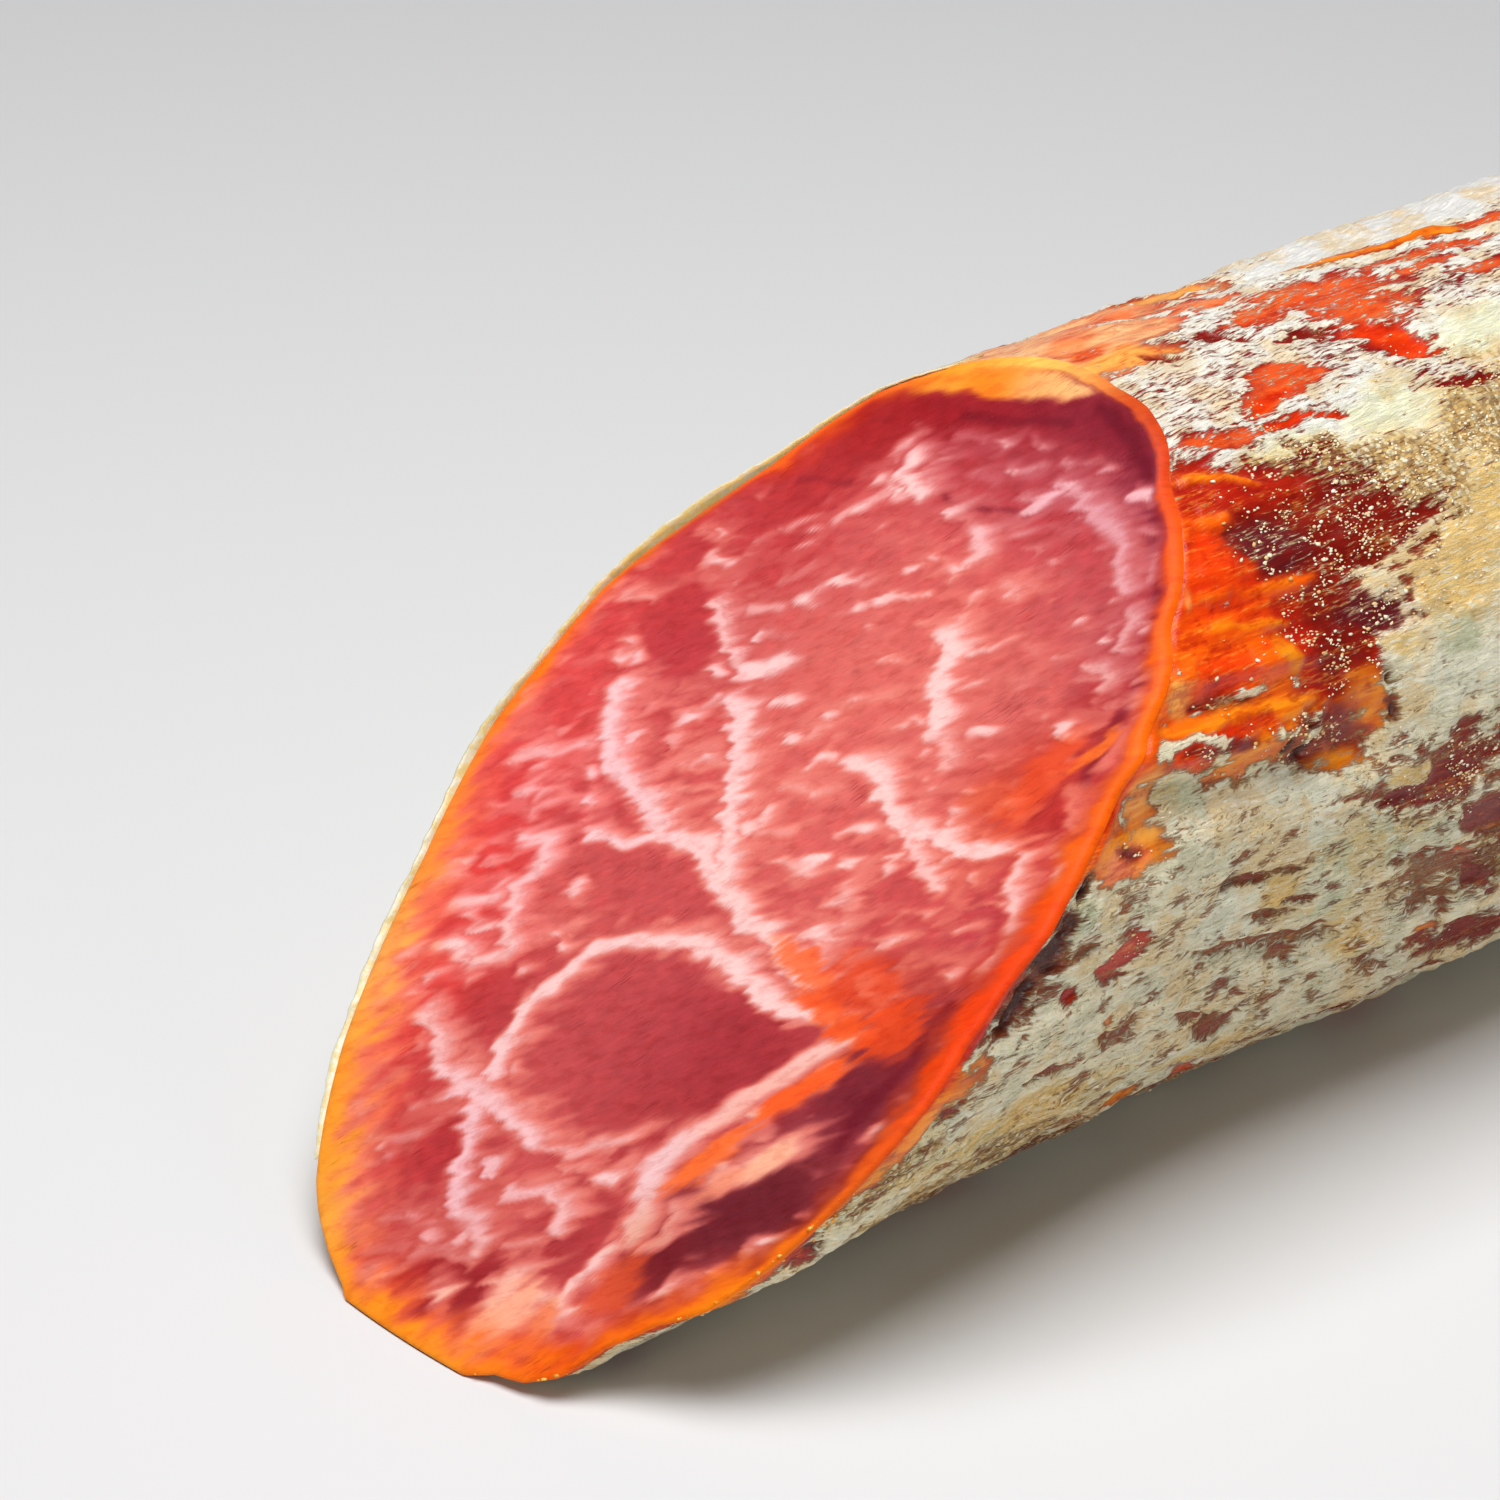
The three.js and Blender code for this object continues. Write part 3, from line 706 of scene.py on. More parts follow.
# What covers the skin: share of mould, share of loose grains, height in mm, and the colours of what
# is under the mould and of the mould
PAINTS = {
    "grey": (0.86, 0.1, 0.2, (158, 88, 46), (254, 242, 206)),
    "green": (0.86, 0.1, 0.15, (124, 76, 40), (214, 214, 174)),
    "pale grey": (0.95, 0.0, 0.3, (150, 80, 50), (255, 250, 222)),
    "white": (0.76, 0.1, 0.2, (158, 36, 44), (255, 253, 242)),
    "speckled": (0.62, 0.1, 0.1, (146, 28, 34), (255, 248, 234)),
    "pale": (0.98, 0.0, 0.3, (210, 140, 140), (240, 238, 234)),
    "cream": (1.0, 0.0, 0.3, (150, 60, 40), (252, 250, 212)),
    "tan": (0.74, 0.75, 0.2, (140, 60, 20), (250, 222, 152)),
    "dark tan": (0.5, 0.95, 0.1, (122, 26, 12), (240, 204, 130)),
    "fawn": (0.92, 0.15, 0.3, (180, 96, 36), (250, 208, 128)),
    "film": (0.0, 0.0, 0.0, (255, 226, 168), (252, 244, 222)),
    "peach": (0.04, 0.0, 0.0, (255, 196, 138), (250, 236, 216)),
    "amber": (0.08, 0.1, 0.0, (255, 178, 84), (250, 236, 210)),
    "salmon": (0.1, 0.0, 0.0, (255, 142, 84), (250, 220, 200)),
    "orange": (0.0, 0.1, 0.1, (255, 100, 2), (250, 220, 180)),
    "bright orange": (0.0, 0.05, 0.22, (255, 144, 14), (254, 222, 160)),
    "flame": (0.3, 0.1, 0.0, (232, 92, 36), (252, 236, 220)),
    "deep orange": (0.12, 0.2, -0.2, (240, 66, 2), (252, 228, 196)),
    "red": (0.12, 0.7, -0.15, (184, 32, 6), (250, 224, 200)),
    "dark red": (0.24, 0.8, -0.25, (132, 24, 10), (244, 218, 184)),
    "purple": (0.34, 0.7, -0.15, (106, 28, 34), (240, 220, 214)),
    "brown": (0.42, 0.2, -0.4, (152, 78, 38), (218, 200, 168)),
    "ochre": (0.06, 0.15, 0.05, (240, 140, 16), (248, 226, 170)),
    # hollow: a small cavity sunk into the skin, its near-black colour painted in as shade
    "hollow": (0.06, 0.0, -0.8, (84, 22, 8), (120, 100, 60)),
}
# Strokes on the near side: paint, half width in mm, then points as x and angle, later ones on top
STROKES = [
    ("pale", 30, [(150, -40), (200, -60)]),
    ("white", 22, [(96, 6), (150, 4)]),
    ("pale", 9, [(112, -30), (160, -24)]),
    ("pale", 4, [(112, -15), (150, -16)]),
    ("tan", 13, [(104, 46), (150, 44)]),
    ("cream", 2.6, [(116, 23), (126, 22)]),
    ("cream", 2.2, [(98, 31), (112, 30)]),
    ("cream", 1.8, [(84, 31.5), (94, 31)]),
    ("speckled", 4, [(80, 15), (90, 16)]),
    ("speckled", 3, [(92, 4), (96, 8)]),
    ("speckled", 3.5, [(118, 9), (128, 14)]),
    ("speckled", 2.4, [(100, 16), (108, 20)]),
    ("speckled", 1.8, [(108, 28), (118, 29)]),
    ("fawn", 5, [(98, 56), (104, 50)]),
    ("tan", 5, [(93, 42), (100, 42)]),
    ("dark tan", 5, [(86, 37), (92, 40)]),
    ("dark tan", 3.4, [(84, 46), (95, 45)]),
    ("film", 5, [(72, -38), (62, -58), (42, -90), (20, -120), (5, -150), (1, -168)]),
    ("peach", 8, [(79, -34), (82, -20), (83, -8)]),
    ("peach", 5, [(88, -24), (96, -20)]),
    ("peach", 3.4, [(90, -8), (94, -6)]),
    ("amber", 1.8, [(80, 5), (82, 2.4), (88, 2), (91, 5)]),
    ("amber", 2.0, [(100, -23), (107, -16)]),
    ("salmon", 1.9, [(84, -8), (88, -13)]),
    ("flame", 1.1, [(82, -2.5), (86.5, -4)]),
    ("salmon", 2.2, [(92, -17), (98, -18)]),
    ("flame", 1.5, [(93, -14), (98, -12), (103, -8)]),
    ("salmon", 1.6, [(98, -7), (103, -5)]),
    ("flame", 3.4, [(103, 1), (109, 4), (116, 6)]),
    ("flame", 1.6, [(98, 3), (106, 6)]),
    ("flame", 2.8, [(108, 9), (114, 12)]),
    ("deep orange", 1.5, [(107, 16), (110, 18), (113, 22)]),
    ("deep orange", 1.2, [(109, 22), (114, 23)]),
    ("dark red", 1.0, [(100, 12), (106, 13)]),
    ("dark red", 0.9, [(95, 3), (96, 8)]),
    ("dark red", 0.7, [(88, 4), (89, 6)]),
    ("bright orange", 1.0, [(110, -9), (117, -6.5), (121, -5), (127, -3), (133, -2)]),
    ("flame", 1.3, [(133, -2), (146, 1)]),
    ("flame", 0.9, [(117, 1), (125, 2), (133, 4)]),
    ("flame", 0.8, [(118, 5), (126, 6)]),
    ("flame", 0.9, [(123, 10), (134, 12)]),
    ("dark red", 0.7, [(111, 31), (118, 32)]),
    ("flame", 1.2, [(92, 17.6), (100, 18.6)]),
    ("flame", 1.5, [(88, 22.4), (94, 21.4), (100, 20.4)]),
    ("deep orange", 0.6, [(89, 22.6), (95, 21.6)]),
    ("flame", 0.9, [(78, 23.6), (82, 24.8), (88, 26)]),
    ("deep orange", 0.45, [(88, 26), (94, 27), (98, 29)]),
    ("deep orange", 3.4, [(75, 31), (71, 43), (67, 54), (62, 63)]),
    ("deep orange", 2.2, [(62, 62), (69, 66), (76, 67)]),
    ("red", 5.5, [(78, 36), (83, 40)]),
    ("red", 6.5, [(79, 50), (82, 58)]),
    ("dark red", 3.8, [(82, 42), (90, 45), (96, 49)]),
    ("purple", 3.0, [(77, 42), (82, 45)]),
    ("dark red", 2.8, [(84, 52), (84, 58), (83, 63)]),
    ("purple", 1.7, [(86, 56), (91, 59)]),
    ("red", 1.4, [(75, 31.5), (81, 36)]),
    ("orange", 2.3, [(75, 27), (72, 35), (69, 42), (65, 51), (61, 59), (56, 67)]),
    # A thin bright orange line on a fold ridge: raised, and lighter along its crest as a painted highlight
    ("bright orange", 0.45, [(75.5, 29), (80, 31), (83.5, 34)]),
    ("orange", 0.8, [(73.5, 35), (78.5, 38.5)]),
    ("deep orange", 1.3, [(72, 38), (75, 40)]),
    ("deep orange", 2.4, [(71, 43.5), (75.5, 46)]),
    ("orange", 0.75, [(69.5, 46), (73.5, 48), (77, 50), (80.5, 50), (84, 49.5)]),
    # A thin bright orange line on a fold ridge: raised, and lighter along its crest as a painted highlight
    ("bright orange", 0.3, [(69.5, 46), (73.5, 47.6), (77, 49.6), (80.5, 49.6)]),
    ("deep orange", 2.0, [(68.5, 49), (75, 51)]),
    ("orange", 4.2, [(68, 55), (73, 57)]),
    ("deep orange", 1.8, [(68, 58), (71, 59.5)]),
    # A thin bright orange line on a fold ridge: raised, and lighter along its crest as a painted highlight
    ("bright orange", 0.35, [(69, 51), (72, 52), (78.5, 55.5)]),
    ("amber", 1.3, [(62.6, 57.6), (63.6, 60)]),
    ("dark red", 1.0, [(65, 61.6), (73, 65)]),
    ("ochre", 1.1, [(76.5, 59), (77, 61)]),
    ("peach", 0.2, [(72.6, 37.5), (70.6, 42), (68.9, 47)]),
    # A thin bright orange line on a fold ridge: raised, and lighter along its crest as a painted highlight
    ("bright orange", 0.7, [(59.5, 62), (65, 64), (70.5, 65), (77, 67), (84, 70)]),
    ("dark red", 2.6, [(76, 73), (83, 73)]),
    ("ochre", 2.0, [(66, 72), (74, 71)]),
    ("deep orange", 1.2, [(61, 66.6), (66, 68.6)]),
    ("dark red", 0.5, [(62, 67), (66, 68.4), (70, 69.2)]),
    # Small cavities, sunk and darkened as painted shade
    ("hollow", 0.45, [(74.5, 71.5), (74.8, 72)]),
    ("hollow", 0.45, [(76.5, 70), (76.9, 70.3)]),
    ("hollow", 0.6, [(76.2, 73.6), (77, 74)]),
    ("ochre", 1.3, [(78, 76.5), (84, 79)]),
    ("ochre", 1.8, [(84.5, 68), (86, 72)]),
    # Small cavities, sunk and darkened as painted shade
    ("hollow", 0.5, [(87.4, 67), (87.6, 69)]),
    ("hollow", 0.6, [(87, 71), (87.4, 74)]),
    ("purple", 1.4, [(86, 59), (92, 60)]),
    ("dark red", 1.4, [(95, 47), (100, 48)]),
    ("dark red", 0.8, [(89, 44), (94, 48)]),
    ("fawn", 0.9, [(88, 63), (92, 65)]),
    ("pale grey", 3.0, [(90, 70), (102, 71)]),
    ("green", 1.6, [(95, 65), (98, 66)]),
    ("pale grey", 3.4, [(76, 82), (82, 85)]),
    ("pale grey", 2.4, [(62, 78), (74, 79)]),
    ("pale grey", 2.6, [(66, 96), (70, 99)]),
    ("green", 3.0, [(80, 92), (92, 94)]),
    ("green", 1.4, [(48, 82), (49, 86)]),
    ("green", 1.2, [(60, 71), (64, 74)]),
    ("green", 2.0, [(78, 103), (86, 106)]),
    ("orange", 2.0, [(46, 78), (50, 73), (54, 70), (58, 66)]),
    ("ochre", 2.6, [(52, 76), (56, 78)]),
    ("salmon", 1.6, [(52, 79), (56, 79.5)]),
    ("dark red", 0.7, [(54.6, 77), (56.4, 79)]),
    ("amber", 1.5, [(58, 69), (58, 75)]),
    ("red", 1.8, [(44, 84), (39, 92), (34, 99)]),
    ("brown", 2.6, [(46.4, 83.6), (43.6, 91), (40, 97)]),
    # Cavities, sunk and darkened as painted shade
    ("hollow", 0.7, [(49.6, 78.6), (48, 82)]),
    ("hollow", 1.6, [(46.4, 85), (44, 90.6)]),
    ("hollow", 0.9, [(41.6, 94), (40, 97.6)]),
    ("red", 1.4, [(53.4, 97.4), (55.8, 96), (56.6, 94)]),
    ("red", 0.65, [(47.3, 99), (48, 98.6)]),
    ("brown", 0.7, [(48, 92), (52, 92)]),
    ("brown", 0.7, [(64.5, 89), (70, 91), (77, 93)]),
    ("fawn", 1.8, [(73.6, 96), (75.4, 97)]),
    ("brown", 0.8, [(64.5, 102), (67, 104), (70, 105), (74, 107), (79, 109.5), (86, 110.5)]),
    ("brown", 1.1, [(74, 109), (79, 110)]),
    ("brown", 0.9, [(53.4, 109), (54, 110)]),
    ("brown", 1.1, [(54.6, 112), (57.4, 112)]),
    ("brown", 0.7, [(57, 108), (58.4, 110)]),
    ("ochre", 0.45, [(53.6, 106.2), (54, 107)]),
    ("brown", 0.6, [(41, 112), (46, 112), (50, 115), (52.5, 116)]),
    ("brown", 0.8, [(64, 115), (68, 119), (71, 121)]),
    ("brown", 0.7, [(71, 114), (73, 117)]),
    ("brown", 0.7, [(76, 117), (79, 121)]),
    ("brown", 0.7, [(80, 118), (83, 123)]),
    ("brown", 1.2, [(70, 123), (76, 125)]),
    ("brown", 1.6, [(86, 118), (92, 124), (95, 128)]),
    ("fawn", 1.8, [(84.6, 111.6), (88, 116)]),
    ("dark red", 2.8, [(86, 86), (92, 86), (100, 83)]),
    ("fawn", 1.0, [(88, 83), (91, 84)]),
    ("dark red", 1.2, [(96, 92), (99, 97), (101, 101)]),
    ("flame", 0.8, [(97.4, 102), (98.6, 103)]),
    ("dark red", 1.8, [(101, 107), (105, 112)]),
    ("brown", 2.4, [(92, 103), (97, 112)]),
    ("ochre", 1.3, [(95, 117), (100, 122)]),
    ("dark red", 2.2, [(98, 92), (103, 99), (107, 106)]),
    ("dark tan", 2.0, [(101, 104), (109, 112)]),
    ("brown", 1.5, [(90, 99), (96, 104), (101, 109)]),
    ("dark red", 2.2, [(99, 127), (107, 130), (118, 131)]),
    ("dark red", 1.2, [(88, 138), (96, 138), (105, 137)]),
    ("brown", 0.5, [(70, 99), (74, 100), (77, 101)]),
    ("brown", 0.45, [(76, 98.6), (79, 100)]),
    ("ochre", 1.0, [(56, 136), (58, 136.6)]),
    ("ochre", 1.1, [(62, 136), (65, 137)]),
    ("flame", 1.3, [(70, 137), (75, 138)]),
    ("dark tan", 1.4, [(34, 141), (58, 142), (88, 142)]),
    ("fawn", 3.0, [(30, 118), (44, 122), (60, 126)]),
    ("tan", 3.0, [(22, 116), (30, 113)]),
    ("tan", 3.5, [(28, 128), (60, 134)]),
    ("fawn", 1.8, [(66, 131), (82, 134)]),
    ("ochre", 2.0, [(28, 104), (35, 103)]),
    ("bright orange", 1.3, [(25.6, 112.6), (28, 109), (31.6, 104)]),
    ("dark red", 0.8, [(31, 109), (34, 107)]),
    ("orange", 1.6, [(20, 112), (27, 107)]),
    ("ochre", 1.6, [(20, 116), (26, 112)]),
    ("bright orange", 2.0, [(6, 140), (12, 130), (16, 122)]),
    ("red", 1.3, [(17, 121), (21, 126)]),
    # A small cavity, sunk and darkened as painted shade
    ("hollow", 0.6, [(20, 123), (21.4, 125)]),
]
# Strokes of the hidden sides are strewn: paint, how many, half width, half length
STREWN = [
    ("pale grey", 20, 4.5, 14),
    ("tan", 14, 4.0, 12),
    ("cream", 8, 3.0, 10),
    ("white", 16, 5.0, 14),
    ("green", 12, 3.0, 8),
    ("fawn", 12, 2.0, 6),
    ("flame", 12, 1.6, 8),
    ("deep orange", 10, 1.2, 6),
    ("dark red", 26, 1.6, 6),
    ("brown", 40, 0.9, 4),
    ("red", 14, 1.1, 3),
    ("ochre", 12, 1.2, 4),
]
SEEN_LENGTH = 118  # the seen part of the near side ends at about this x
SEEN_ANGLES = (-36, 136)
# The skin's edge along the rim is bare: angle and width in mm
LIP = [(-40, 0.5), (-8, 0.4), (12, 0.5), (26, 0.8), (34, 1.6), (46, 1.8), (62, 2.2), (74, 2.2), (82, 1.2),
       (90, 0.7), (98, 2.6), (106, 1.6), (116, 1.0), (128, 1.8), (140, 2.0), (180, 1.2), (230, 0.8)]
LIP_PAINT = (0.03, 0.0, 0.15)  # share of mould, of loose grains, and height
# Where the skin's values lie in their rows
COVER, GRAINS, HEIGHT = range(3)
UNDER = slice(3, 6)
CRUST = slice(6, 9)
ARC = math.radians(RADIUS)  # mm round the skin for each degree

# Noise on the skin: size in mm along x and across it, seed, layers, how much each finer layer keeps
SKIN_NOISES = {
    "bend x": (4, 4, 3, 1, 1),
    "wide bend x": (12, 12, 4, 1, 1),
    "bend arc": (3, 3, 5, 1, 1),
    "wide bend arc": (12, 12, 6, 1, 1),
    "ragged": (4.2, 1.3, 63, 4, 0.68),
    "worn": (3.4, 1.7, 67, 3, 0.6),
    "stain": (1.4, 1.4, 18, 3, 0.6),
    "lip edge": (1.5, 1.5, 14, 1, 1),
    "lip width": (5, 5, 15, 1, 1),
    "bead": (3, 3, 16, 1, 1),
    "wrinkle": (30, 4.5, 20, 3, 0.5),
    "lump": (9, 6, 30, 3, 0.5),
    "grain": (1.6, 1.6, 40, 3, 0.5),
    "cluster": (3.5, 3.5, 70, 1, 1),
    "fine cluster": (1.4, 1.4, 71, 1, 1),
    "film stand": (3, 3, 80, 1, 1),
    "film edge": (0.9, 0.9, 81, 1, 1),
    "film end": (1.6, 1.6, 82, 1, 1),
    "crumb": (2.5, 2.5, 83, 1, 1),
}
WRINKLE_HEIGHT = 0.36
LUMP_HEIGHT = 0.4
GRAIN_HEIGHT = 0.06
CRUST_GRAIN_HEIGHT = 0.2  # more of it where mould covers the skin
END_PLEATS = (29, 0.35)  # count and height of the fine pleats at the far end
TOP_TURN = 10  # degrees from the top to the middle of the bare, rubbed band
WORN_COVER = 0.32  # share of the mould that is worn off in spots
LIP_STAIN = (0.12, 0.4, 0.3)  # how much the stains take off the lip's red, green and blue

GRANULE_TRIES = 90000
GRANULE_ZONE = (48, LENGTH - 30, -HALF_TURN, HALF_TURN)  # from x, to x, from angle, to angle
SEEN_GRANULE_ZONE = (52, SEEN_LENGTH, 18, 96)  # half of the tries are here
GRANULE_SHARE = 0.6  # of the tries that are kept where the grains are thick
GRANULE_LOWEST = 3  # mm above the floor
GRANULE_LIFT = 0.05
GRANULE_LENGTH = (0.11, 0.2)
GRANULE_SCALES = ([0.8, 1.1, 1.7], [0.5, 0.34, 0.16])  # and their shares
GRANULE_COLOURS = [(222, 172, 96), (255, 250, 228)]
CRUMB_BEHIND = (0.3, 3)  # mm behind the rim: the nearest, and how far they spread
CRUMB_LENGTH = (0.1, 0.34)
CRUMB_COLOURS = [(240, 132, 20), (255, 214, 110)]
GRAIN_LEAN = 0.4  # how far the grains turn away from the loin's length, in radians
GRAIN_UNEVEN = (0.7, 1.25)  # how far in or out a grain's corners are
CRUMB_ANGLES = (112, 166)
CRUMB_COUNT = 260
# How far the outer film stands off the rim: angle, mm
FILM = [(-142, 0), (-138, 0.4), (-132, 0.8), (-118, 0.8), (-104, 0.4), (-96, 0.7), (-84, 0.3), (-76, 0.4),
        (-70, 0.6), (-64, 0.8), (-57, 0.9), (-51, 0.5), (-44, 0.2), (-34, 0.15), (-22, 0)]
FILM_STEP = 0.6
FILM_ROWS = [(5.0, 0.0), (3.0, 0.3), (1.4, 0.7), (0.2, 1.0)]  # mm behind the rim, share of the stand
FILM_THICKNESS = 0.15
FILM_LIFT = 0.12
# Relief of the cut face, heights in mm
WAVE_SIZE = (7, 5, 5)
WAVE_HEIGHT = 0.12
THREAD_HEIGHT = 0.035
FAT_HEIGHT = 0.08
EVEN_SHARE = 0.52  # of the skin's rings lie evenly along it, the rest crowds towards the rim


def strewn_strokes():
    rng = np.random.default_rng(SEED)
    strokes = []
    for paint, count, half_width, half_length in STREWN:
        for _ in range(count):
            x, angle = rng.uniform(4, LENGTH - 8), rng.uniform(-HALF_TURN, HALF_TURN)
            size = rng.uniform(0.6, 1.4)
            if x < SEEN_LENGTH and SEEN_ANGLES[0] < angle < SEEN_ANGLES[1]:
                continue
            reach, lean = size * half_length, rng.normal(0, 4)
            path = [(x - reach, angle - lean), (x, angle + rng.normal(0, 2)), (x + reach, angle + lean)]
            strokes.append((paint, size * half_width, path))
    return strokes


def paint_values(name):
    cover, grains, height, under, crust = PAINTS[name]
    return np.array([cover, grains, height, *under, *crust])


def skin_noise(name, form):
    """One of the noises of the skin, at the plain points of the loin."""
    along, across, seed, layers, fade = SKIN_NOISES[name]
    return layered_noise(form / (along, across, across), seed, layers, fade)


def lip_width(angle, form):
    return by_angle(angle, LIP, 1) * (1 + 0.5 * skin_noise("lip width", form))


def paint_stroke(values, place, ragged, paint, half, path):
    """Lay one stroke over the skin's values: sharp in cover, grains and height, and softer in colour."""
    turn = WHOLE_TURN * ARC
    path = np.array(path, float) * (1, ARC)
    edge = min(max(0.4 * half, 0.3), 1.3)
    rough = min(0.75 * half, 1.8)
    blur = min(max(0.5 * half, 0.35), 1.8)
    reach = half + max(edge + rough, blur + 0.4 * rough)
    near = place - (0, path[0, 1])
    near[:, 1] = (near[:, 1] + turn / 2) % turn - turn / 2
    path = path - (0, path[0, 1])
    low, high = path.min(axis=0) - reach, path.max(axis=0) + reach
    rows = np.nonzero(((near > low) & (near < high)).all(axis=1))[0]
    ends = np.linalg.norm(near[rows, None] - path[[0, -1]], axis=2).min(axis=1)
    tip = min(4 * half, 0.4 * np.linalg.norm(path[-1] - path[0]))
    inside = half * (0.3 + 0.7 * smooth(ends, 0, tip)) - path_distance(near[rows], path)
    change = paint_values(paint) - values[rows]
    sharp = smooth(inside + rough * ragged[rows], -edge, edge)
    soft = smooth(inside + 0.4 * rough * ragged[rows], -blur, blur)
    is_sharp = np.arange(values.shape[1]) <= HEIGHT
    values[rows] += np.where(is_sharp, sharp[:, None], soft[:, None]) * change


def bare_lip(values, angle, form, rim_gap):
    """The skin's values with the bare lip that runs along the rim."""
    lip = lip_width(angle, form)
    # The lip takes the rim zone's outer colour, which is partly a painted glow
    zone = by_angle(angle, RIM_ZONE, 2)
    bands = np.column_stack([np.tile(LIP_PAINT, (len(angle), 1)), zone, values[:, CRUST]])
    stains = smooth(skin_noise("stain", form), -0.1, 0.6)
    bands[:, UNDER] *= 1 - stains[:, None] * LIP_STAIN
    share = 1 - smooth(rim_gap + 0.5 * skin_noise("lip edge", form), 0.6 * lip, 1.3 * lip)
    return values + share[:, None] * (bands - values)


def skin_fields(x, angle, form, rim_gap):
    """What the skin's material reads at its points. form holds the plain points of the loin."""
    degrees = (np.degrees(angle) + HALF_TURN) % WHOLE_TURN - HALF_TURN
    bend_x = 0.9 * skin_noise("bend x", form) + 1.4 * skin_noise("wide bend x", form)
    bend_arc = 0.4 * skin_noise("bend arc", form) + 0.8 * skin_noise("wide bend arc", form)
    place = np.column_stack([x + bend_x, degrees * ARC + bend_arc])
    ragged = skin_noise("ragged", form)
    values = np.tile(paint_values("grey"), (len(x), 1))
    for stroke in strewn_strokes() + STROKES:
        paint_stroke(values, place, ragged, *stroke)
    top = np.cos(angle - math.radians(TOP_TURN))
    fluffy = 1 - smooth(top, 0.3, 0.85)
    worn = smooth(skin_noise("worn", form), 0.0, 0.62)
    values[:, COVER] -= WORN_COVER * worn * fluffy * smooth(values[:, COVER], 0.6, 0.85)
    values = bare_lip(values, angle, form, rim_gap)
    return {
        "place": form,
        "cover": values[:, COVER],
        "grains": values[:, GRAINS],
        "height": values[:, HEIGHT],
        "under": values[:, UNDER] / 255,
        "crust": values[:, CRUST] / 255,
        "fluffy": fluffy,
    }


def skin_relief(x, angle, form, gap, fields):
    """How far the dressed skin stands off the plain form, in mm."""
    t, share = end_share(x)
    crust = smooth(fields["cover"], 0.25, 0.75)
    total = WRINKLE_HEIGHT * skin_noise("wrinkle", form) + LUMP_HEIGHT * skin_noise("lump", form)
    total += fields["height"]
    total += (GRAIN_HEIGHT + CRUST_GRAIN_HEIGHT * crust) * skin_noise("grain", form)
    total -= furrow_depth(x, angle, FINE_FURROWS)
    count, height = END_PLEATS
    total += height * t * np.cos(count * angle + 2 * np.sin(5 * angle)) * share
    lip = lip_width(angle, form)
    bead = smooth(lip, 1.4, 2.6) * np.exp(-(((gap - 0.6 * lip) / (0.6 * lip)) ** 2))
    bead *= 0.25 + 0.3 * skin_noise("bead", form)
    behind = gap - RIM_ROUND
    tucked = 0.25 * (1 - smooth(gap, 0.5 * RIM_ROUND, RIM_ROUND)) + 0.03 * (1 - smooth(behind, 0, 0.5))
    return total * smooth(behind, 0, 2.2) * share + bead * smooth(behind, 0, 0.8) - tucked


def cut_relief(place, gap, fat):
    """How far the dried cut face stands off its plane, in mm."""
    flat = np.column_stack([place, np.zeros(len(place))])
    waves = WAVE_HEIGHT * layered_noise(flat / WAVE_SIZE, 50, 3)
    fibres = THREAD_HEIGHT * cut_noise("thread", place)
    return (waves + fibres + FAT_HEIGHT * smooth(fat, 0.3, 0.8)) * smooth(gap, 0.2, 2.5)


# The meshes
def make_mesh(name, points, faces, fields, shift):
    """An object from points in mm, with its fields as attributes of its points."""
    mesh = bpy.data.meshes.new(name)
    mesh.from_pydata(((points + shift) * MM).tolist(), [], faces)
    mesh.polygons.foreach_set("use_smooth", np.ones(len(faces), bool))
    for key, values in fields.items():
        values = np.asarray(values, np.float32)
        if values.ndim == 1:
            mesh.attributes.new(key, "FLOAT", "POINT").data.foreach_set("value", values)
        elif key == "place":
            mesh.attributes.new(key, "FLOAT_VECTOR", "POINT").data.foreach_set("vector", values.ravel())
        else:
            rgba = np.column_stack([linear(values), np.ones(len(values))]).astype(np.float32)
            mesh.attributes.new(key, "FLOAT_COLOR", "POINT").data.foreach_set("color", rgba.ravel())
    mesh.update()
    piece = bpy.data.objects.new(name, mesh)
    bpy.context.scene.collection.objects.link(piece)
    return piece


def cut_net():
    """A square net drawn into a disc: how far out its points are, from 0 to 1, and their angles."""
    line = np.linspace(-1, 1, CUT_NET + 1)
    up, across = [net.ravel() for net in np.meshgrid(line, line)]
    share = np.maximum(abs(up), abs(across))
    tall = abs(up) >= abs(across)
    long_side = np.where(tall, up, across)
    ratio = np.where(tall, across, up) / np.where(share > 0, long_side, 1)
    angle = np.where(tall, ratio * math.pi / 4, (2 - ratio) * math.pi / 4) + math.pi * (long_side < 0)
    return share, angle % (2 * math.pi)


def cut_form(share, angle):
    """The plain cut and its rounded rim at the net's points, and how far they are inside the rim, in mm."""
    turns = np.arange(RIM_STEPS) / RIM_STEPS * 2 * math.pi
    rim_table = rim_points(turns)
    rim = np.column_stack([np.interp(angle, turns, part, period=2 * math.pi) for part in rim_table.T])
    reach = np.linalg.norm(CUT_MIDDLE - rim, axis=1)
    inner = rim + (CUT_MIDDLE - rim) / reach[:, None] * RIM_ROUND
    outer = skin_point(rim[:, 0] + RIM_ROUND, angle)
    flat_share = 1 - 2 * RIM_RINGS / CUT_NET
    f = np.clip(share / flat_share, 0, 1)
    t = np.clip((share - flat_share) / (1 - flat_share), 0, 1)[:, None]
    gap = (reach - RIM_ROUND) * (1 - f) + RIM_ROUND * (1 - 2 * t[:, 0])
    hollow = -CUT_HOLLOW * (1 - (f * (1 - RIM_ROUND / reach)) ** 2)
    face = CUT_MIDDLE + f[:, None] * (inner - CUT_MIDDLE) + hollow[:, None] * CUT_NORMAL
    return (1 - t) ** 2 * face + 2 * t * (1 - t) * rim + t * t * outer, gap


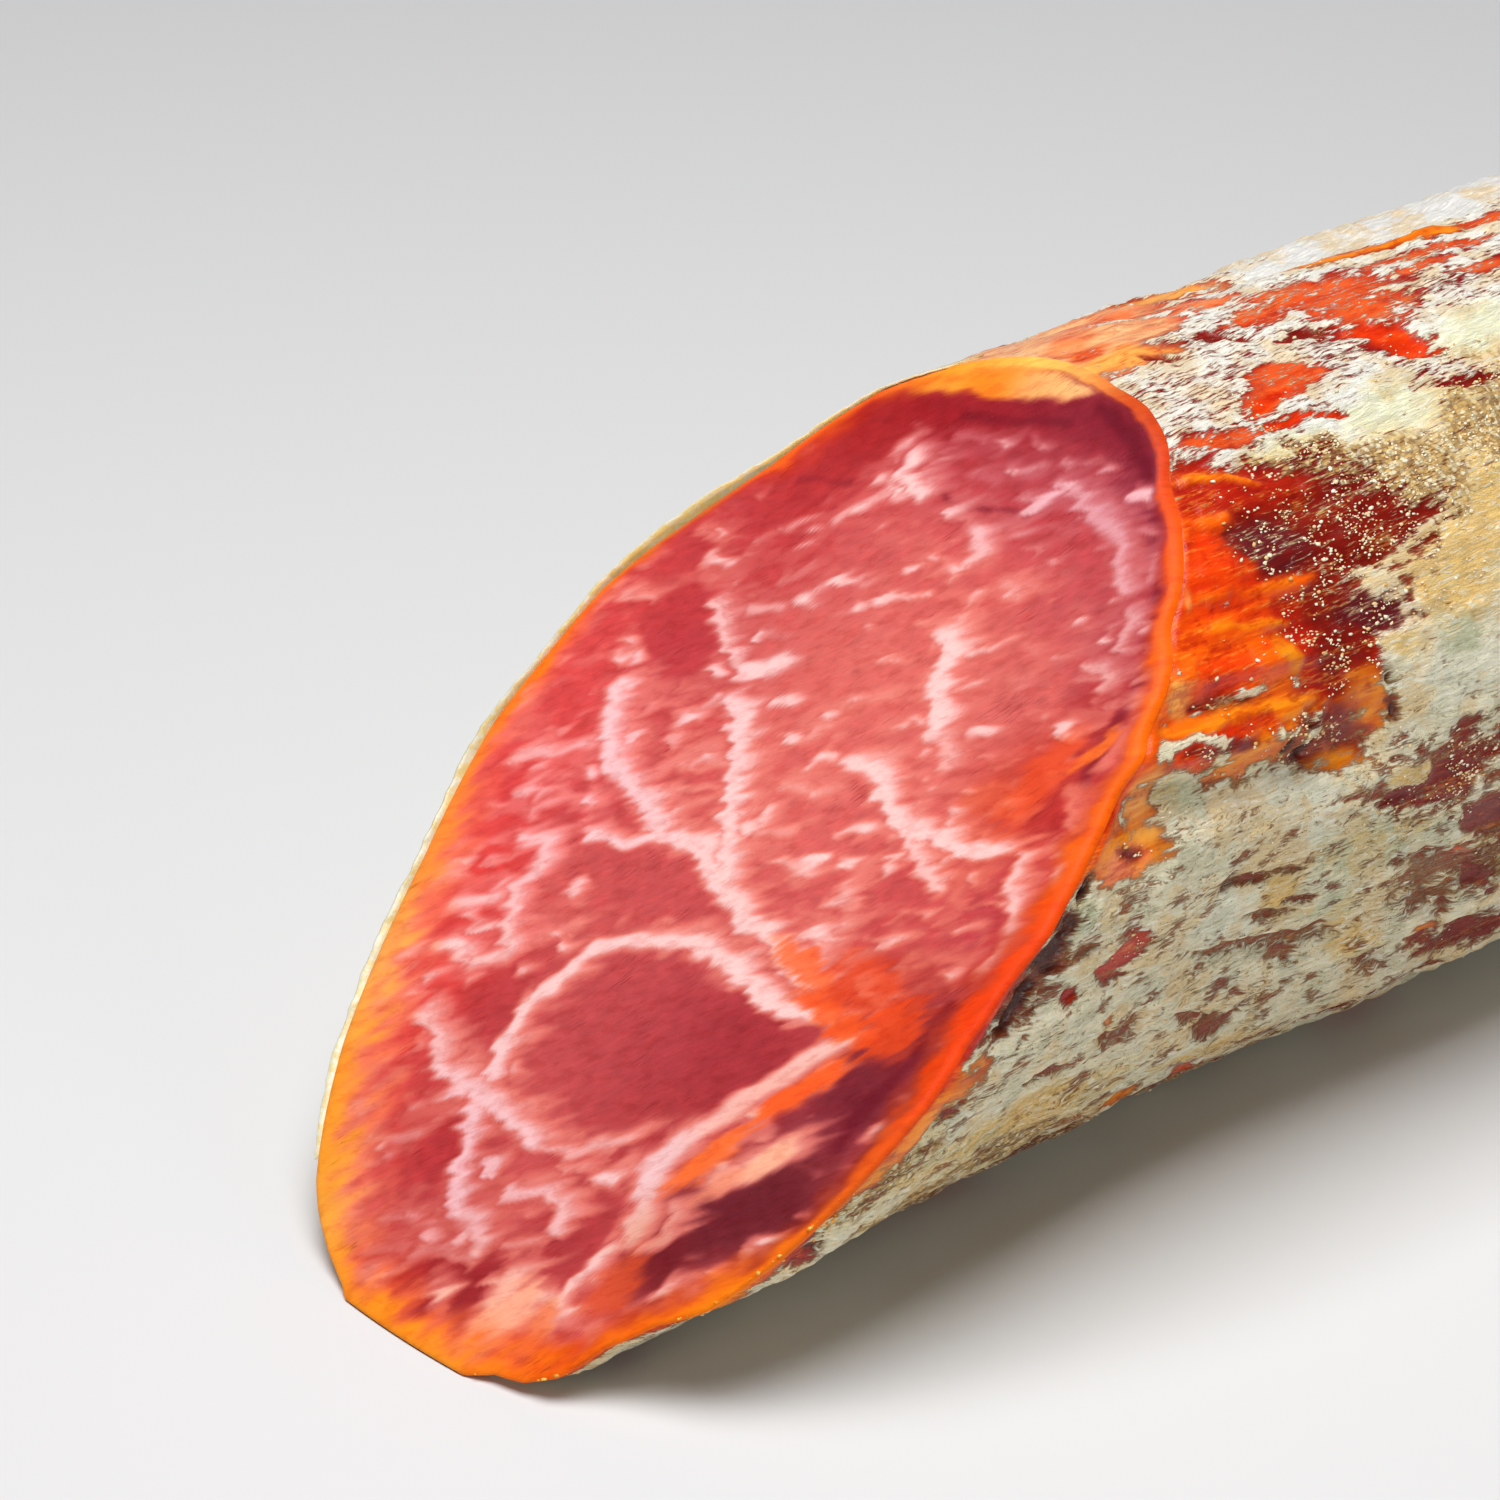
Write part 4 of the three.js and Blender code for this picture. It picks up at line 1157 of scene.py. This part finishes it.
def build_cut(shift):
    """The cut face and its rounded rim: a square net, drawn into a disc and stretched to the rim."""
    share, angle = cut_net()
    plain, gap = cut_form(share, angle)
    offset = plain - CUT_MIDDLE
    place = np.column_stack([offset @ CUT_ACROSS, offset @ CUT_UP])
    colour, fat = cut_paint(place, np.maximum(gap, 0), angle)
    points = tip_bulge(plain + cut_relief(place, gap, fat)[:, None] * CUT_NORMAL)
    points[:, 2] = np.maximum(points[:, 2], 0)
    row = CUT_NET + 1
    first = (np.arange(CUT_NET)[:, None] * row + np.arange(CUT_NET)).ravel()
    faces = np.column_stack([first, first + row, first + row + 1, first + 1]).tolist()
    flat = np.column_stack([place, 0 * gap])
    fields = {"place": flat, "gap": gap, "paint": colour, "fat": fat}
    return make_mesh("loin_cut", points, faces, fields, shift)


def skin_rings():
    """Angles round the skin, and the x and rim gap of its rings from the rim to the far end."""
    fine = np.arange(*FINE_SIDE, FINE_TURN)
    coarse = np.arange(FINE_SIDE[1], FINE_SIDE[0] + WHOLE_TURN, COARSE_TURN)
    angle = np.radians(np.concatenate([fine, coarse]))
    rim_x = rim_points(angle)[:, 0]
    start = rim_x + 0.5 * RIM_ROUND
    body_end = LENGTH - END_LENGTH
    steps = np.arange(STEPS_SIDE)[:, None] / STEPS_SIDE
    side = start + (body_end - start) * (EVEN_SHARE * steps + (1 - EVEN_SHARE) * steps**2)
    turn = np.sin(np.arange(STEPS_END)[:, None] / STEPS_END * math.pi / 2) ** (2 / END_ROUNDNESS)
    end = body_end + turn * END_LENGTH + 0 * rim_x
    x = np.concatenate([side, end])
    return angle, x, x - rim_x


def dressed_skin(x, angle, gap):
    """Points of the skin with all its relief, and what its material reads there."""
    plain = skin_point(x, angle)
    fields = skin_fields(x, angle, plain, gap)
    outward = np.stack([0 * x, -np.sin(angle), np.cos(angle)], axis=-1)
    points = tip_bulge(plain + skin_relief(x, angle, plain, gap, fields)[:, None] * outward)
    points[:, 2] = np.maximum(points[:, 2], 0)
    points[plain[:, 2] < 0.01, 2] = 0
    return points, fields


def build_skin(shift):
    angle, x, gap = skin_rings()
    count, around = x.shape
    angles = np.tile(angle, count)
    points, fields = dressed_skin(x.ravel(), angles, gap.ravel())
    end_side, end_height = axis_point(np.array([float(LENGTH)]))
    tip = np.array([[LENGTH, end_side[0], end_height[0]]])
    fields = {key: np.concatenate([values, values[-1:]]) for key, values in fields.items()}
    fields["place"][-1] = tip[0]
    ring = np.arange(count)[:, None] * around + np.arange(around)
    turned = np.roll(ring, -1, axis=1)
    quads = np.stack([ring[:-1], turned[:-1], turned[1:], ring[1:]], axis=-1).reshape(-1, 4)
    far = np.stack([ring[-1], turned[-1], np.full(around, count * around)], axis=-1)
    faces = quads.tolist() + far.tolist()
    return make_mesh("loin_skin", np.vstack([points, tip]), faces, fields, shift)


def small_ball():
    """Corners and faces of a ball with 12 corners and a radius of 1."""
    golden = (1 + math.sqrt(5)) / 2
    corners = np.array([(0, a, b * golden) for a in (-1, 1) for b in (-1, 1)], float)
    corners = np.vstack([np.roll(corners, turn, axis=1) for turn in range(3)])
    corners /= np.linalg.norm(corners[0])
    apart = np.linalg.norm(corners[:, None] - corners, axis=2)
    near = (apart > 0.1) & (apart < 1.2)
    triples = itertools.combinations(range(len(corners)), 3)
    faces = [f for f in triples if near[f[0], f[1]] and near[f[0], f[2]] and near[f[1], f[2]]]
    faces = np.array([f if np.linalg.det(corners[list(f)]) > 0 else (f[0], f[2], f[1]) for f in faces])
    return corners, faces


def grains_mesh(name, middles, normals, sizes, colours, shift, rng):
    """Small ovals that sit on the skin: middles in mm, sizes as length, width and height."""
    corners, faces = small_ball()
    lean = rng.normal(0, GRAIN_LEAN, len(middles))
    along = np.column_stack([np.cos(lean), np.sin(lean), 0 * lean])
    across = np.cross(normals, along)
    across /= np.linalg.norm(across, axis=1, keepdims=True)
    along = np.cross(across, normals)
    local = corners * sizes[:, None, :]
    local *= rng.uniform(*GRAIN_UNEVEN, (len(middles), len(corners), 1))
    axes = np.stack([along, across, normals], axis=1)
    points = (middles[:, None, :] + local @ axes).reshape(-1, 3)
    points[:, 2] = np.maximum(points[:, 2], 0)
    all_faces = (faces + len(corners) * np.arange(len(middles))[:, None, None]).reshape(-1, 3).tolist()
    return make_mesh(name, points, all_faces, {"paint": np.repeat(colours, len(corners), axis=0)}, shift)


def build_granules(shift):
    """Loose mould granules, thick where the skin has them, at places tried at random."""
    rng = np.random.default_rng(SEED + 1)
    half = GRANULE_TRIES // 2
    x = rng.uniform(*GRANULE_ZONE[:2], GRANULE_TRIES)
    x[:half] = rng.uniform(*SEEN_GRANULE_ZONE[:2], half)
    degrees = rng.uniform(*GRANULE_ZONE[2:], GRANULE_TRIES)
    degrees[:half] = rng.uniform(*SEEN_GRANULE_ZONE[2:], half)
    angle = np.radians(degrees)
    gap = behind_cut(x, angle)
    points, fields = dressed_skin(x, angle, gap)
    clusters = skin_noise("cluster", fields["place"]) + 0.6 * skin_noise("fine cluster", fields["place"])
    chance = fields["grains"] * smooth(clusters, -0.35, 0.75) * smooth(gap, 4, 12)
    kept = rng.uniform(0, 1, GRANULE_TRIES) < GRANULE_SHARE * chance
    kept &= points[:, 2] > GRANULE_LOWEST
    points, angle = points[kept], angle[kept]
    normals = np.stack([0 * angle, -np.sin(angle), np.cos(angle)], axis=-1)
    count = len(points)
    scales, shares = GRANULE_SCALES
    length = rng.uniform(*GRANULE_LENGTH, count) * rng.choice(scales, count, p=shares)
    sizes = np.column_stack([length, length * rng.uniform(0.4, 0.7, count), length * 0.36])
    tone = rng.uniform(0, 1, count) ** 0.6
    colours = mixed(tone, *np.array(GRANULE_COLOURS) / 255)
    middles = points + normals * GRANULE_LIFT
    return grains_mesh("mould_granules", middles, normals, sizes, colours, shift, rng)


def build_crumbs(shift):
    """Crumbs of yellow fat along the low near edge of the cut."""
    rng = np.random.default_rng(SEED + 2)
    angle = np.radians(rng.uniform(*CRUMB_ANGLES, CRUMB_COUNT))
    angle += 0.03 * np.sin(angle * 47)
    rim = rim_points(angle)
    normals = np.stack([0 * angle - 0.4, -np.sin(angle), np.cos(angle)], axis=-1)
    normals /= np.linalg.norm(normals, axis=1, keepdims=True)
    nearest, spread = CRUMB_BEHIND
    behind = nearest + spread * rng.uniform(0, 1, CRUMB_COUNT) ** 2
    points, _ = dressed_skin(rim[:, 0] + behind, angle, behind)
    length = rng.uniform(*CRUMB_LENGTH, CRUMB_COUNT) * smooth(skin_noise("crumb", rim), -0.2, 0.3)
    sizes = np.column_stack([length, length * 0.7, length * 0.5])
    colours = mixed(rng.uniform(0, 1, CRUMB_COUNT), *np.array(CRUMB_COLOURS) / 255)
    return grains_mesh("rim_crumbs", points, normals, sizes, colours, shift, rng)


def build_film(shift):
    """The thin outer film of the casing, which stands off the far side of the rim: a closed thin strip."""
    degrees = np.arange(FILM[0][0], FILM[-1][0], FILM_STEP)
    angle = np.radians(degrees)
    rim = rim_points(angle)
    stand = np.interp(degrees, *zip(*FILM))
    stand = stand * (1 + 0.35 * skin_noise("film stand", rim)) + 0.1 * skin_noise("film edge", rim)
    rows = []
    for inner in (0, 1):
        for behind, share in FILM_ROWS:
            x = rim[:, 0] + behind + 0.3 * skin_noise("film end", rim)
            lift = FILM_LIFT + share * np.maximum(stand, 0) - inner * FILM_THICKNESS
            rows.append(tip_bulge(skin_point(x, angle, lift)))
    half = len(FILM_ROWS)
    order = list(range(half)) + list(range(2 * half - 1, half - 1, -1))
    ring = np.stack([rows[i] for i in order], axis=1)
    count, around = ring.shape[:2]
    net = np.arange(count)[:, None] * around + np.arange(around)
    turned = np.roll(net, -1, axis=1)
    quads = np.stack([net[:-1], net[1:], turned[1:], turned[:-1]], axis=-1).reshape(-1, 4).tolist()
    ends = [net[0].tolist(), net[-1][::-1].tolist()]
    points = ring.reshape(-1, 3)
    points[:, 2] = np.maximum(points[:, 2], 0)
    return make_mesh("casing_film", points, quads + ends, {"place": points}, shift)


def frame_shift():
    """From the loin's own measures into the frame, in mm: its tip and its widest places meet the box."""
    angle = np.radians(np.arange(0, WHOLE_TURN, 2.0))
    xs = np.arange(0, LENGTH, 2.0)[:, None]
    side = skin_point(xs + 0 * angle, angle + 0 * xs)[..., 1]
    middle = (cad_high.y + cad_low.y) / 2 / MM
    return np.array([cad_high.x / MM - LENGTH, middle - (side.max() + side.min()) / 2, 0])


def linear(colour):
    """Colours from 0 to 1, as they look on a screen, as linear light."""
    colour = np.asarray(colour, float)
    return np.where(colour <= 0.04045, colour / 12.92, ((colour + 0.055) / 1.055) ** 2.4)


def rgb(red, green, blue):
    return (*linear(np.array([red, green, blue]) / 255), 1)


# Material nodes
class Nodes:
    """A short way to write a material's node tree."""

    def __init__(self, name):
        self.material = bpy.data.materials.new(name)
        self.material.use_nodes = True
        self.tree = self.material.node_tree
        self.shader = self.tree.nodes["Principled BSDF"]

    def put(self, socket, value):
        if isinstance(value, bpy.types.NodeSocket):
            self.tree.links.new(value, socket)
        else:
            socket.default_value = value

    def add(self, kind, inputs=None, **settings):
        node = self.tree.nodes.new(kind)
        for key, value in settings.items():
            setattr(node, key, value)
        for key, value in (inputs or {}).items():
            self.put(node.inputs[key], value)
        return node

    def attribute(self, name, output="Fac"):
        return self.add("ShaderNodeAttribute", attribute_name=name).outputs[output]

    def math(self, operation, a, b=0.0, c=0.0):
        return self.add("ShaderNodeMath", {0: a, 1: b, 2: c}, operation=operation).outputs[0]

    def add_up(self, *terms):
        """Sum of sockets, or of (socket, factor) pairs."""
        total = 0.0
        for term in terms:
            socket, factor = term if isinstance(term, tuple) else (term, 1.0)
            total = self.math("MULTIPLY_ADD", socket, factor, total)
        return total

    def ramp(self, value, low, high, out_low=0.0, out_high=1.0):
        inputs = {"Value": value, "From Min": low, "From Max": high, "To Min": out_low, "To Max": out_high}
        node = self.add("ShaderNodeMapRange", inputs, interpolation_type="SMOOTHSTEP")
        return node.outputs["Result"]

    def spread(self, vector, sizes, turn=0.0):
        """Coordinates in which a noise's features have these sizes in mm, turned by so many degrees."""
        inputs = {"Vector": vector, "Scale": sizes, "Rotation": (0, 0, math.radians(turn))}
        return self.add("ShaderNodeMapping", inputs, vector_type="TEXTURE").outputs[0]

    def cells(self, vector, scale):
        """Distance to the middle of each cell, and a random value of the cell."""
        node = self.add("ShaderNodeTexVoronoi", {"Vector": vector, "Scale": scale})
        chance = self.add("ShaderNodeSeparateColor", {0: node.outputs["Color"]})
        return node.outputs["Distance"], chance.outputs[1]

    def noise(self, vector, scale=1.0, detail=3.0, rough=0.5, bend=0.0):
        inputs = {"Vector": vector, "Scale": scale, "Detail": detail}
        inputs.update({"Roughness": rough, "Distortion": bend})
        return self.add("ShaderNodeTexNoise", inputs).outputs["Fac"]

    def mix(self, share, a, b, kind="MIX"):
        node = self.add("ShaderNodeMix", data_type="RGBA", blend_type=kind)
        for index, value in ((0, share), (6, a), (7, b)):
            self.put(node.inputs[index], value)
        return node.outputs[2]

    def bump(self, height, distance, strength):
        """Relief of this depth in mm, in the shading alone."""
        inputs = {"Height": height, "Distance": distance * MM, "Strength": strength}
        return self.add("ShaderNodeBump", inputs).outputs[0]

    def finish(self, **inputs):
        for name, value in inputs.items():
            self.put(self.shader.inputs[name.replace("_", " ")], value)
        return self.material


FIBRE_TURN = 50  # degrees by which the meat's fibres rise towards the near side
# Colours on the cut face
MOTTLE_TINT = rgb(220, 140, 132)
FIBRE_TINT = rgb(214, 120, 110)
NICK_COLOUR = rgb(136, 16, 26)
# Painted highlight: light specks that stand for glints on the wet cut
PAINTED_GLINT_COLOUR = rgb(255, 226, 220)
# Colours of the bare casing
STREAK_TINT = rgb(214, 112, 70)
# Painted highlight: light orange lines on the glossy bare casing
PAINTED_HIGHLIGHT_ORANGE = rgb(255, 158, 54)
STAIN_TINT = rgb(196, 88, 70)
# Painted shade for the skin's hollows and furrows
PAINTED_SHADE_COLOUR = rgb(58, 18, 6)
# Colours of the mould and its grains
CREAM_MOULD = rgb(240, 202, 134)
GREEN_MOULD = rgb(198, 200, 164)
# Light mould hairs with a painted highlight, painted shade at their roots, and dark pits, partly real pores
# and partly painted shade
HAIR_HIGHLIGHT_COLOUR = rgb(255, 252, 234)
PAINTED_ROOT_SHADE = rgb(140, 106, 56)
PIT_AND_SHADE_COLOUR = rgb(92, 54, 26)
EDGE_COLOUR = rgb(186, 118, 66)
DARK_GRAIN = rgb(132, 76, 30)
MIDDLE_GRAIN = rgb(232, 186, 106)
LIGHT_GRAIN = rgb(255, 250, 216)
# Painted shade in the gaps between the grains
PAINTED_GRAIN_GAP_SHADE = rgb(120, 66, 26)
# Colours of the thin film
FILM_COLOUR = rgb(255, 208, 128)
FILM_VEINS = rgb(255, 238, 188)


def cut_material():
    m = Nodes("cut_meat")
    face = m.attribute("place", "Vector")
    fat, gap = m.attribute("fat"), m.attribute("gap")
    fibre = m.noise(m.spread(face, (2.2, 0.2, 1), FIBRE_TURN), 1.0, 3.0, 0.6)
    nick = m.noise(m.spread(face, (2.6, 0.14, 1), FIBRE_TURN + 14), 1.0, 2.0, 0.5)
    speck = m.noise(face, 6.0, 2.0, 0.6)
    patch = m.noise(face, 0.16, 2.0, 0.5)
    mottle = m.noise(m.spread(face, (2.2, 1.1, 1), FIBRE_TURN - 12), 1.0, 3.0, 0.6)

    colour = m.attribute("paint", "Color")
    colour = m.mix(m.ramp(mottle, 0.36, 0.52, 0.26, 0.0), colour, MOTTLE_TINT, "MULTIPLY")
    colour = m.mix(m.ramp(fibre, 0.35, 0.5, 0.12, 0.0), colour, FIBRE_TINT, "MULTIPLY")
    nicks = m.ramp(m.add_up((nick, 0.6), (patch, 0.4)), 0.33, 0.39, 0.45, 0.0)
    nicks = m.math("MULTIPLY", nicks, m.ramp(fat, 0.1, 0.5, 1.0, 0.1))
    colour = m.mix(nicks, colour, NICK_COLOUR)
    # Painted highlight: a few light specks mixed into the colour as glints
    painted_glints = m.ramp(speck, 0.74, 0.8, 0.0, 0.3)
    colour = m.mix(painted_glints, colour, PAINTED_GLINT_COLOUR)

    relief = m.add_up((fibre, 0.4), (mottle, 0.4), (speck, 0.3), (fat, 0.1), (nicks, -0.6))
    return m.finish(
        Base_Color=colour,
        Roughness=m.ramp(m.add_up((speck, 0.5), (patch, 0.5)), 0.35, 0.65, 0.34, 0.5),
        Normal=m.bump(relief, 0.15, m.ramp(gap, 0.0, 3.0, 0.35, 0.75)),
        Specular_IOR_Level=0.1,
        Subsurface_Weight=0.12,
        Subsurface_Radius=(1.4, 0.4, 0.25),
        Subsurface_Scale=MM,
    )


def bare_casing(m, under, streak, blot, line):
    """Colour of the bare casing, with what soaked through it, and light lines painted on as highlights."""
    raw = m.mix(m.ramp(streak, 0.36, 0.58, 0.55, 0.0), under, STREAK_TINT, "MULTIPLY")
    # Painted highlight: light orange-yellow lines along the streaks
    painted_highlight_lines = m.ramp(m.add_up((line, 0.5), (streak, 0.5)), 0.52, 0.66, 0.0, 0.45)
    raw = m.mix(painted_highlight_lines, raw, PAINTED_HIGHLIGHT_ORANGE)
    stains = m.ramp(m.add_up((blot, 0.7), (line, 0.3)), 0.36, 0.5, 0.6, 0.0)
    return m.mix(stains, raw, STAIN_TINT, "MULTIPLY")


def mould_coat(m, crust, fluffy, blot, hair, dust, clouds, edge):
    """Colour of the mould: soft clouds of colour, light hairs with a painted highlight, painted shade at
    their roots, and dark pits that are partly painted shade.
    """
    coat = m.mix(m.ramp(clouds, 0.46, 0.6, 0.0, 0.6), crust, CREAM_MOULD)
    green = m.math("MULTIPLY", m.ramp(m.add_up((clouds, 0.5), (blot, 0.5)), 0.42, 0.52, 0.42, 0.0), fluffy)
    coat = m.mix(green, coat, GREEN_MOULD)
    # Painted highlight along the light hairs
    coat = m.mix(m.ramp(hair, 0.5, 0.64, 0.0, 0.75), coat, HAIR_HIGHLIGHT_COLOUR)
    # Painted shade at the roots between the hairs
    painted_root_shade = m.math("MULTIPLY", m.ramp(m.add_up((hair, 0.7), (blot, 0.3)), 0.36, 0.47, 0.6, 0.0), fluffy)
    coat = m.mix(painted_root_shade, coat, PAINTED_ROOT_SHADE)
    # Dark pits: partly real dark pores, partly painted shade in the hair troughs
    pits_and_shade = m.math("MULTIPLY", m.ramp(m.add_up((dust, 0.6), (hair, 0.4)), 0.37, 0.43, 0.7, 0.0), fluffy)
    coat = m.mix(pits_and_shade, coat, PIT_AND_SHADE_COLOUR)
    return m.mix(m.ramp(edge, 0.42, 0.74, 0.6, 0.0), coat, EDGE_COLOUR)


def grain_coat(m, coat, grains, apart, tone):
    """The mould's colour with loose grains of several tones, and painted shade in the gaps between them."""
    grain_tone = m.mix(m.ramp(tone, 0.0, 0.6), DARK_GRAIN, MIDDLE_GRAIN)
    grain_tone = m.mix(m.ramp(tone, 0.5, 1.0), grain_tone, LIGHT_GRAIN)
    # Painted shade: darker at the edges of the cells, between the grains
    grain_tone = m.mix(m.ramp(apart, 0.4, 0.7, 0.0, 0.6), grain_tone, PAINTED_GRAIN_GAP_SHADE)
    return m.mix(m.ramp(grains, 0.4, 0.8, 0.0, 0.75), coat, grain_tone)


def skin_material():
    m = Nodes("casing_skin")
    place = m.attribute("place", "Vector")
    cover, grains, height, fluffy = (m.attribute(n) for n in ("cover", "grains", "height", "fluffy"))
    under, crust = (m.attribute(n, "Color") for n in ("under", "crust"))

    streak = m.noise(m.spread(place, (9, 1.3, 1.3)), 1.0, 4.0, 0.6, 0.4)
    blot = m.noise(m.spread(place, (3.2, 2.0, 2.0)), 1.0, 4.0, 0.62, 0.6)
    line = m.noise(m.spread(place, (1.5, 0.26, 0.26)), 1.0, 3.0, 0.6, 0.3)
    hair = m.noise(m.spread(place, (2.3, 0.5, 0.5)), 1.0, 5.0, 0.72, 1.8)
    dust = m.noise(place, 4.5, 3.0, 0.7)
    clouds = m.noise(place, 0.2, 4.0, 0.6)
    fine = m.add("ShaderNodeMix", {0: fluffy, 2: line, 3: hair}).outputs[0]
    apart, tone = m.cells(m.spread(place, (0.5, 0.4, 0.4)), 1.0)

    edge = m.add_up(cover, (streak, 0.6), (blot, 0.5), (fine, 1.7), -1.4)
    mask = m.ramp(edge, m.ramp(fluffy, 0.0, 1.0, 0.38, 0.3), m.ramp(fluffy, 0.0, 1.0, 0.6, 0.68))

    raw = bare_casing(m, under, streak, blot, line)
    coat = mould_coat(m, crust, fluffy, blot, hair, dust, clouds, edge)
    coat = grain_coat(m, coat, grains, apart, tone)
    colour = m.mix(mask, raw, coat)
    # Painted shade: darker where the paint's height is low, in hollows and furrows, and also in random
    # blots
    painted_hollow_shade = m.ramp(m.add_up((height, -1.0), (blot, 0.9), -0.45), 0.3, 0.85, 0.0, 0.8)
    colour = m.mix(painted_hollow_shade, colour, PAINTED_SHADE_COLOUR)

    hairs = m.math("MULTIPLY", mask, hair)
    bumps = m.add_up((mask, 0.4), (hairs, 1.3), (blot, 0.5), (streak, 0.4), (line, 0.25), (dust, 0.12))
    return m.finish(
        Base_Color=colour,
        Roughness=m.ramp(mask, 0.0, 1.0, 0.25, 0.88),
        Specular_IOR_Level=m.ramp(mask, 0.0, 1.0, 0.38, 0.08),
        Normal=m.bump(bumps, 0.4, m.ramp(mask, 0.0, 1.0, 0.55, 0.85)),
        Subsurface_Weight=0.06,
        Subsurface_Radius=(1.2, 0.4, 0.2),
        Subsurface_Scale=MM,
    )


def grain_material():
    m = Nodes("mould_grain")
    return m.finish(Base_Color=m.attribute("paint", "Color"), Roughness=0.7, Specular_IOR_Level=0.15)


def film_material():
    m = Nodes("casing_film")
    place = m.attribute("place", "Vector")
    veins = m.noise(place, 0.9, 3.0, 0.6, 0.5)
    colour = m.mix(m.ramp(veins, 0.4, 0.62), FILM_COLOUR, FILM_VEINS)
    return m.finish(
        Base_Color=colour,
        Roughness=0.3,
        Normal=m.bump(veins, 0.1, 0.5),
        Subsurface_Weight=0.7,
        Subsurface_Radius=(2.0, 1.6, 1.0),
        Subsurface_Scale=MM,
    )


# Studio
CAMERA_TURN = math.radians(-43.37)
CAMERA_RISE = math.radians(27)
CAMERA_DISTANCE = 0.7
CAMERA_LENS = 186.8
LOOK_AT = (54.45, 14.33, 32.9)  # mm, in the loin's own measures
LIGHT_AIM = Vector((-0.06, 0, 0.03))
# Name, towards the camera, to its right, up, distance in m, size in m, power
LIGHTS = [("key", 0.12, -0.1, 1, 0.62, 0.5, 5.5), ("front", 1, 0.7, 0.1, 0.9, 0.4, 2.2)]
FLOOR_SIZE = 6.0
FLOOR_COLOUR = (0.71, 0.71, 0.715, 1)
WORLD_STRENGTH = 0.08
WHITE = (1, 1, 1, 1)


def light(name, direction, distance, size, power):
    data = bpy.data.lights.new(name, "AREA")
    data.size, data.energy = size, power
    lamp = bpy.data.objects.new(name, data)
    direction = Vector(direction).normalized()
    lamp.location = LIGHT_AIM + direction * distance
    lamp.rotation_mode = "QUATERNION"
    lamp.rotation_quaternion = direction.to_track_quat("Z", "Y")
    bpy.context.scene.collection.objects.link(lamp)


def make_camera(shift):
    data = bpy.data.cameras.new("camera")
    data.sensor_width, data.lens = 36, CAMERA_LENS
    data.clip_start, data.clip_end = 0.01, 20
    camera = bpy.data.objects.new("camera", data)
    turn, rise = CAMERA_TURN, CAMERA_RISE
    back = Vector((math.sin(turn) * math.cos(rise), -math.cos(turn) * math.cos(rise), math.sin(rise)))
    camera.location = Vector(tuple((np.array(LOOK_AT) + shift) * MM)) + back * CAMERA_DISTANCE
    camera.rotation_mode = "QUATERNION"
    camera.rotation_quaternion = (-back).to_track_quat("-Z", "Y")
    bpy.context.scene.collection.objects.link(camera)
    bpy.context.scene.camera = camera


def make_studio():
    towards = Vector((math.sin(CAMERA_TURN), -math.cos(CAMERA_TURN), 0))
    right = Vector((math.cos(CAMERA_TURN), math.sin(CAMERA_TURN), 0))
    for name, ahead, side, up, *rest in LIGHTS:
        light(name, ahead * towards + side * right + Vector((0, 0, up)), *rest)
    bpy.ops.mesh.primitive_plane_add(size=FLOOR_SIZE)
    floor = bpy.context.object
    floor.name = "floor"
    paint = Nodes("floor_paint").finish(Base_Color=FLOOR_COLOUR, Roughness=0.7)
    floor.data.materials.append(paint)
    world = bpy.data.worlds.new("studio")
    world.use_nodes = True
    sky = world.node_tree.nodes["Background"]
    sky.inputs["Color"].default_value = WHITE
    sky.inputs["Strength"].default_value = WORLD_STRENGTH
    bpy.context.scene.world = world
    bpy.context.scene.view_settings.view_transform = "Standard"


# The whole scene
shift = frame_shift()
make_camera(shift)
make_studio()
PIECES = [  # how it is built, its material and its slot
    (build_cut, cut_material, "cured_meat"),
    (build_skin, skin_material, "casing"),
    (build_granules, grain_material, "casing"),
    (build_crumbs, grain_material, "casing"),
    (build_film, film_material, "casing"),
]
for build, material, slot in PIECES:
    piece = build(shift)
    piece.data.materials.append(material())
    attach(piece, "root")
    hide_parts("loin")
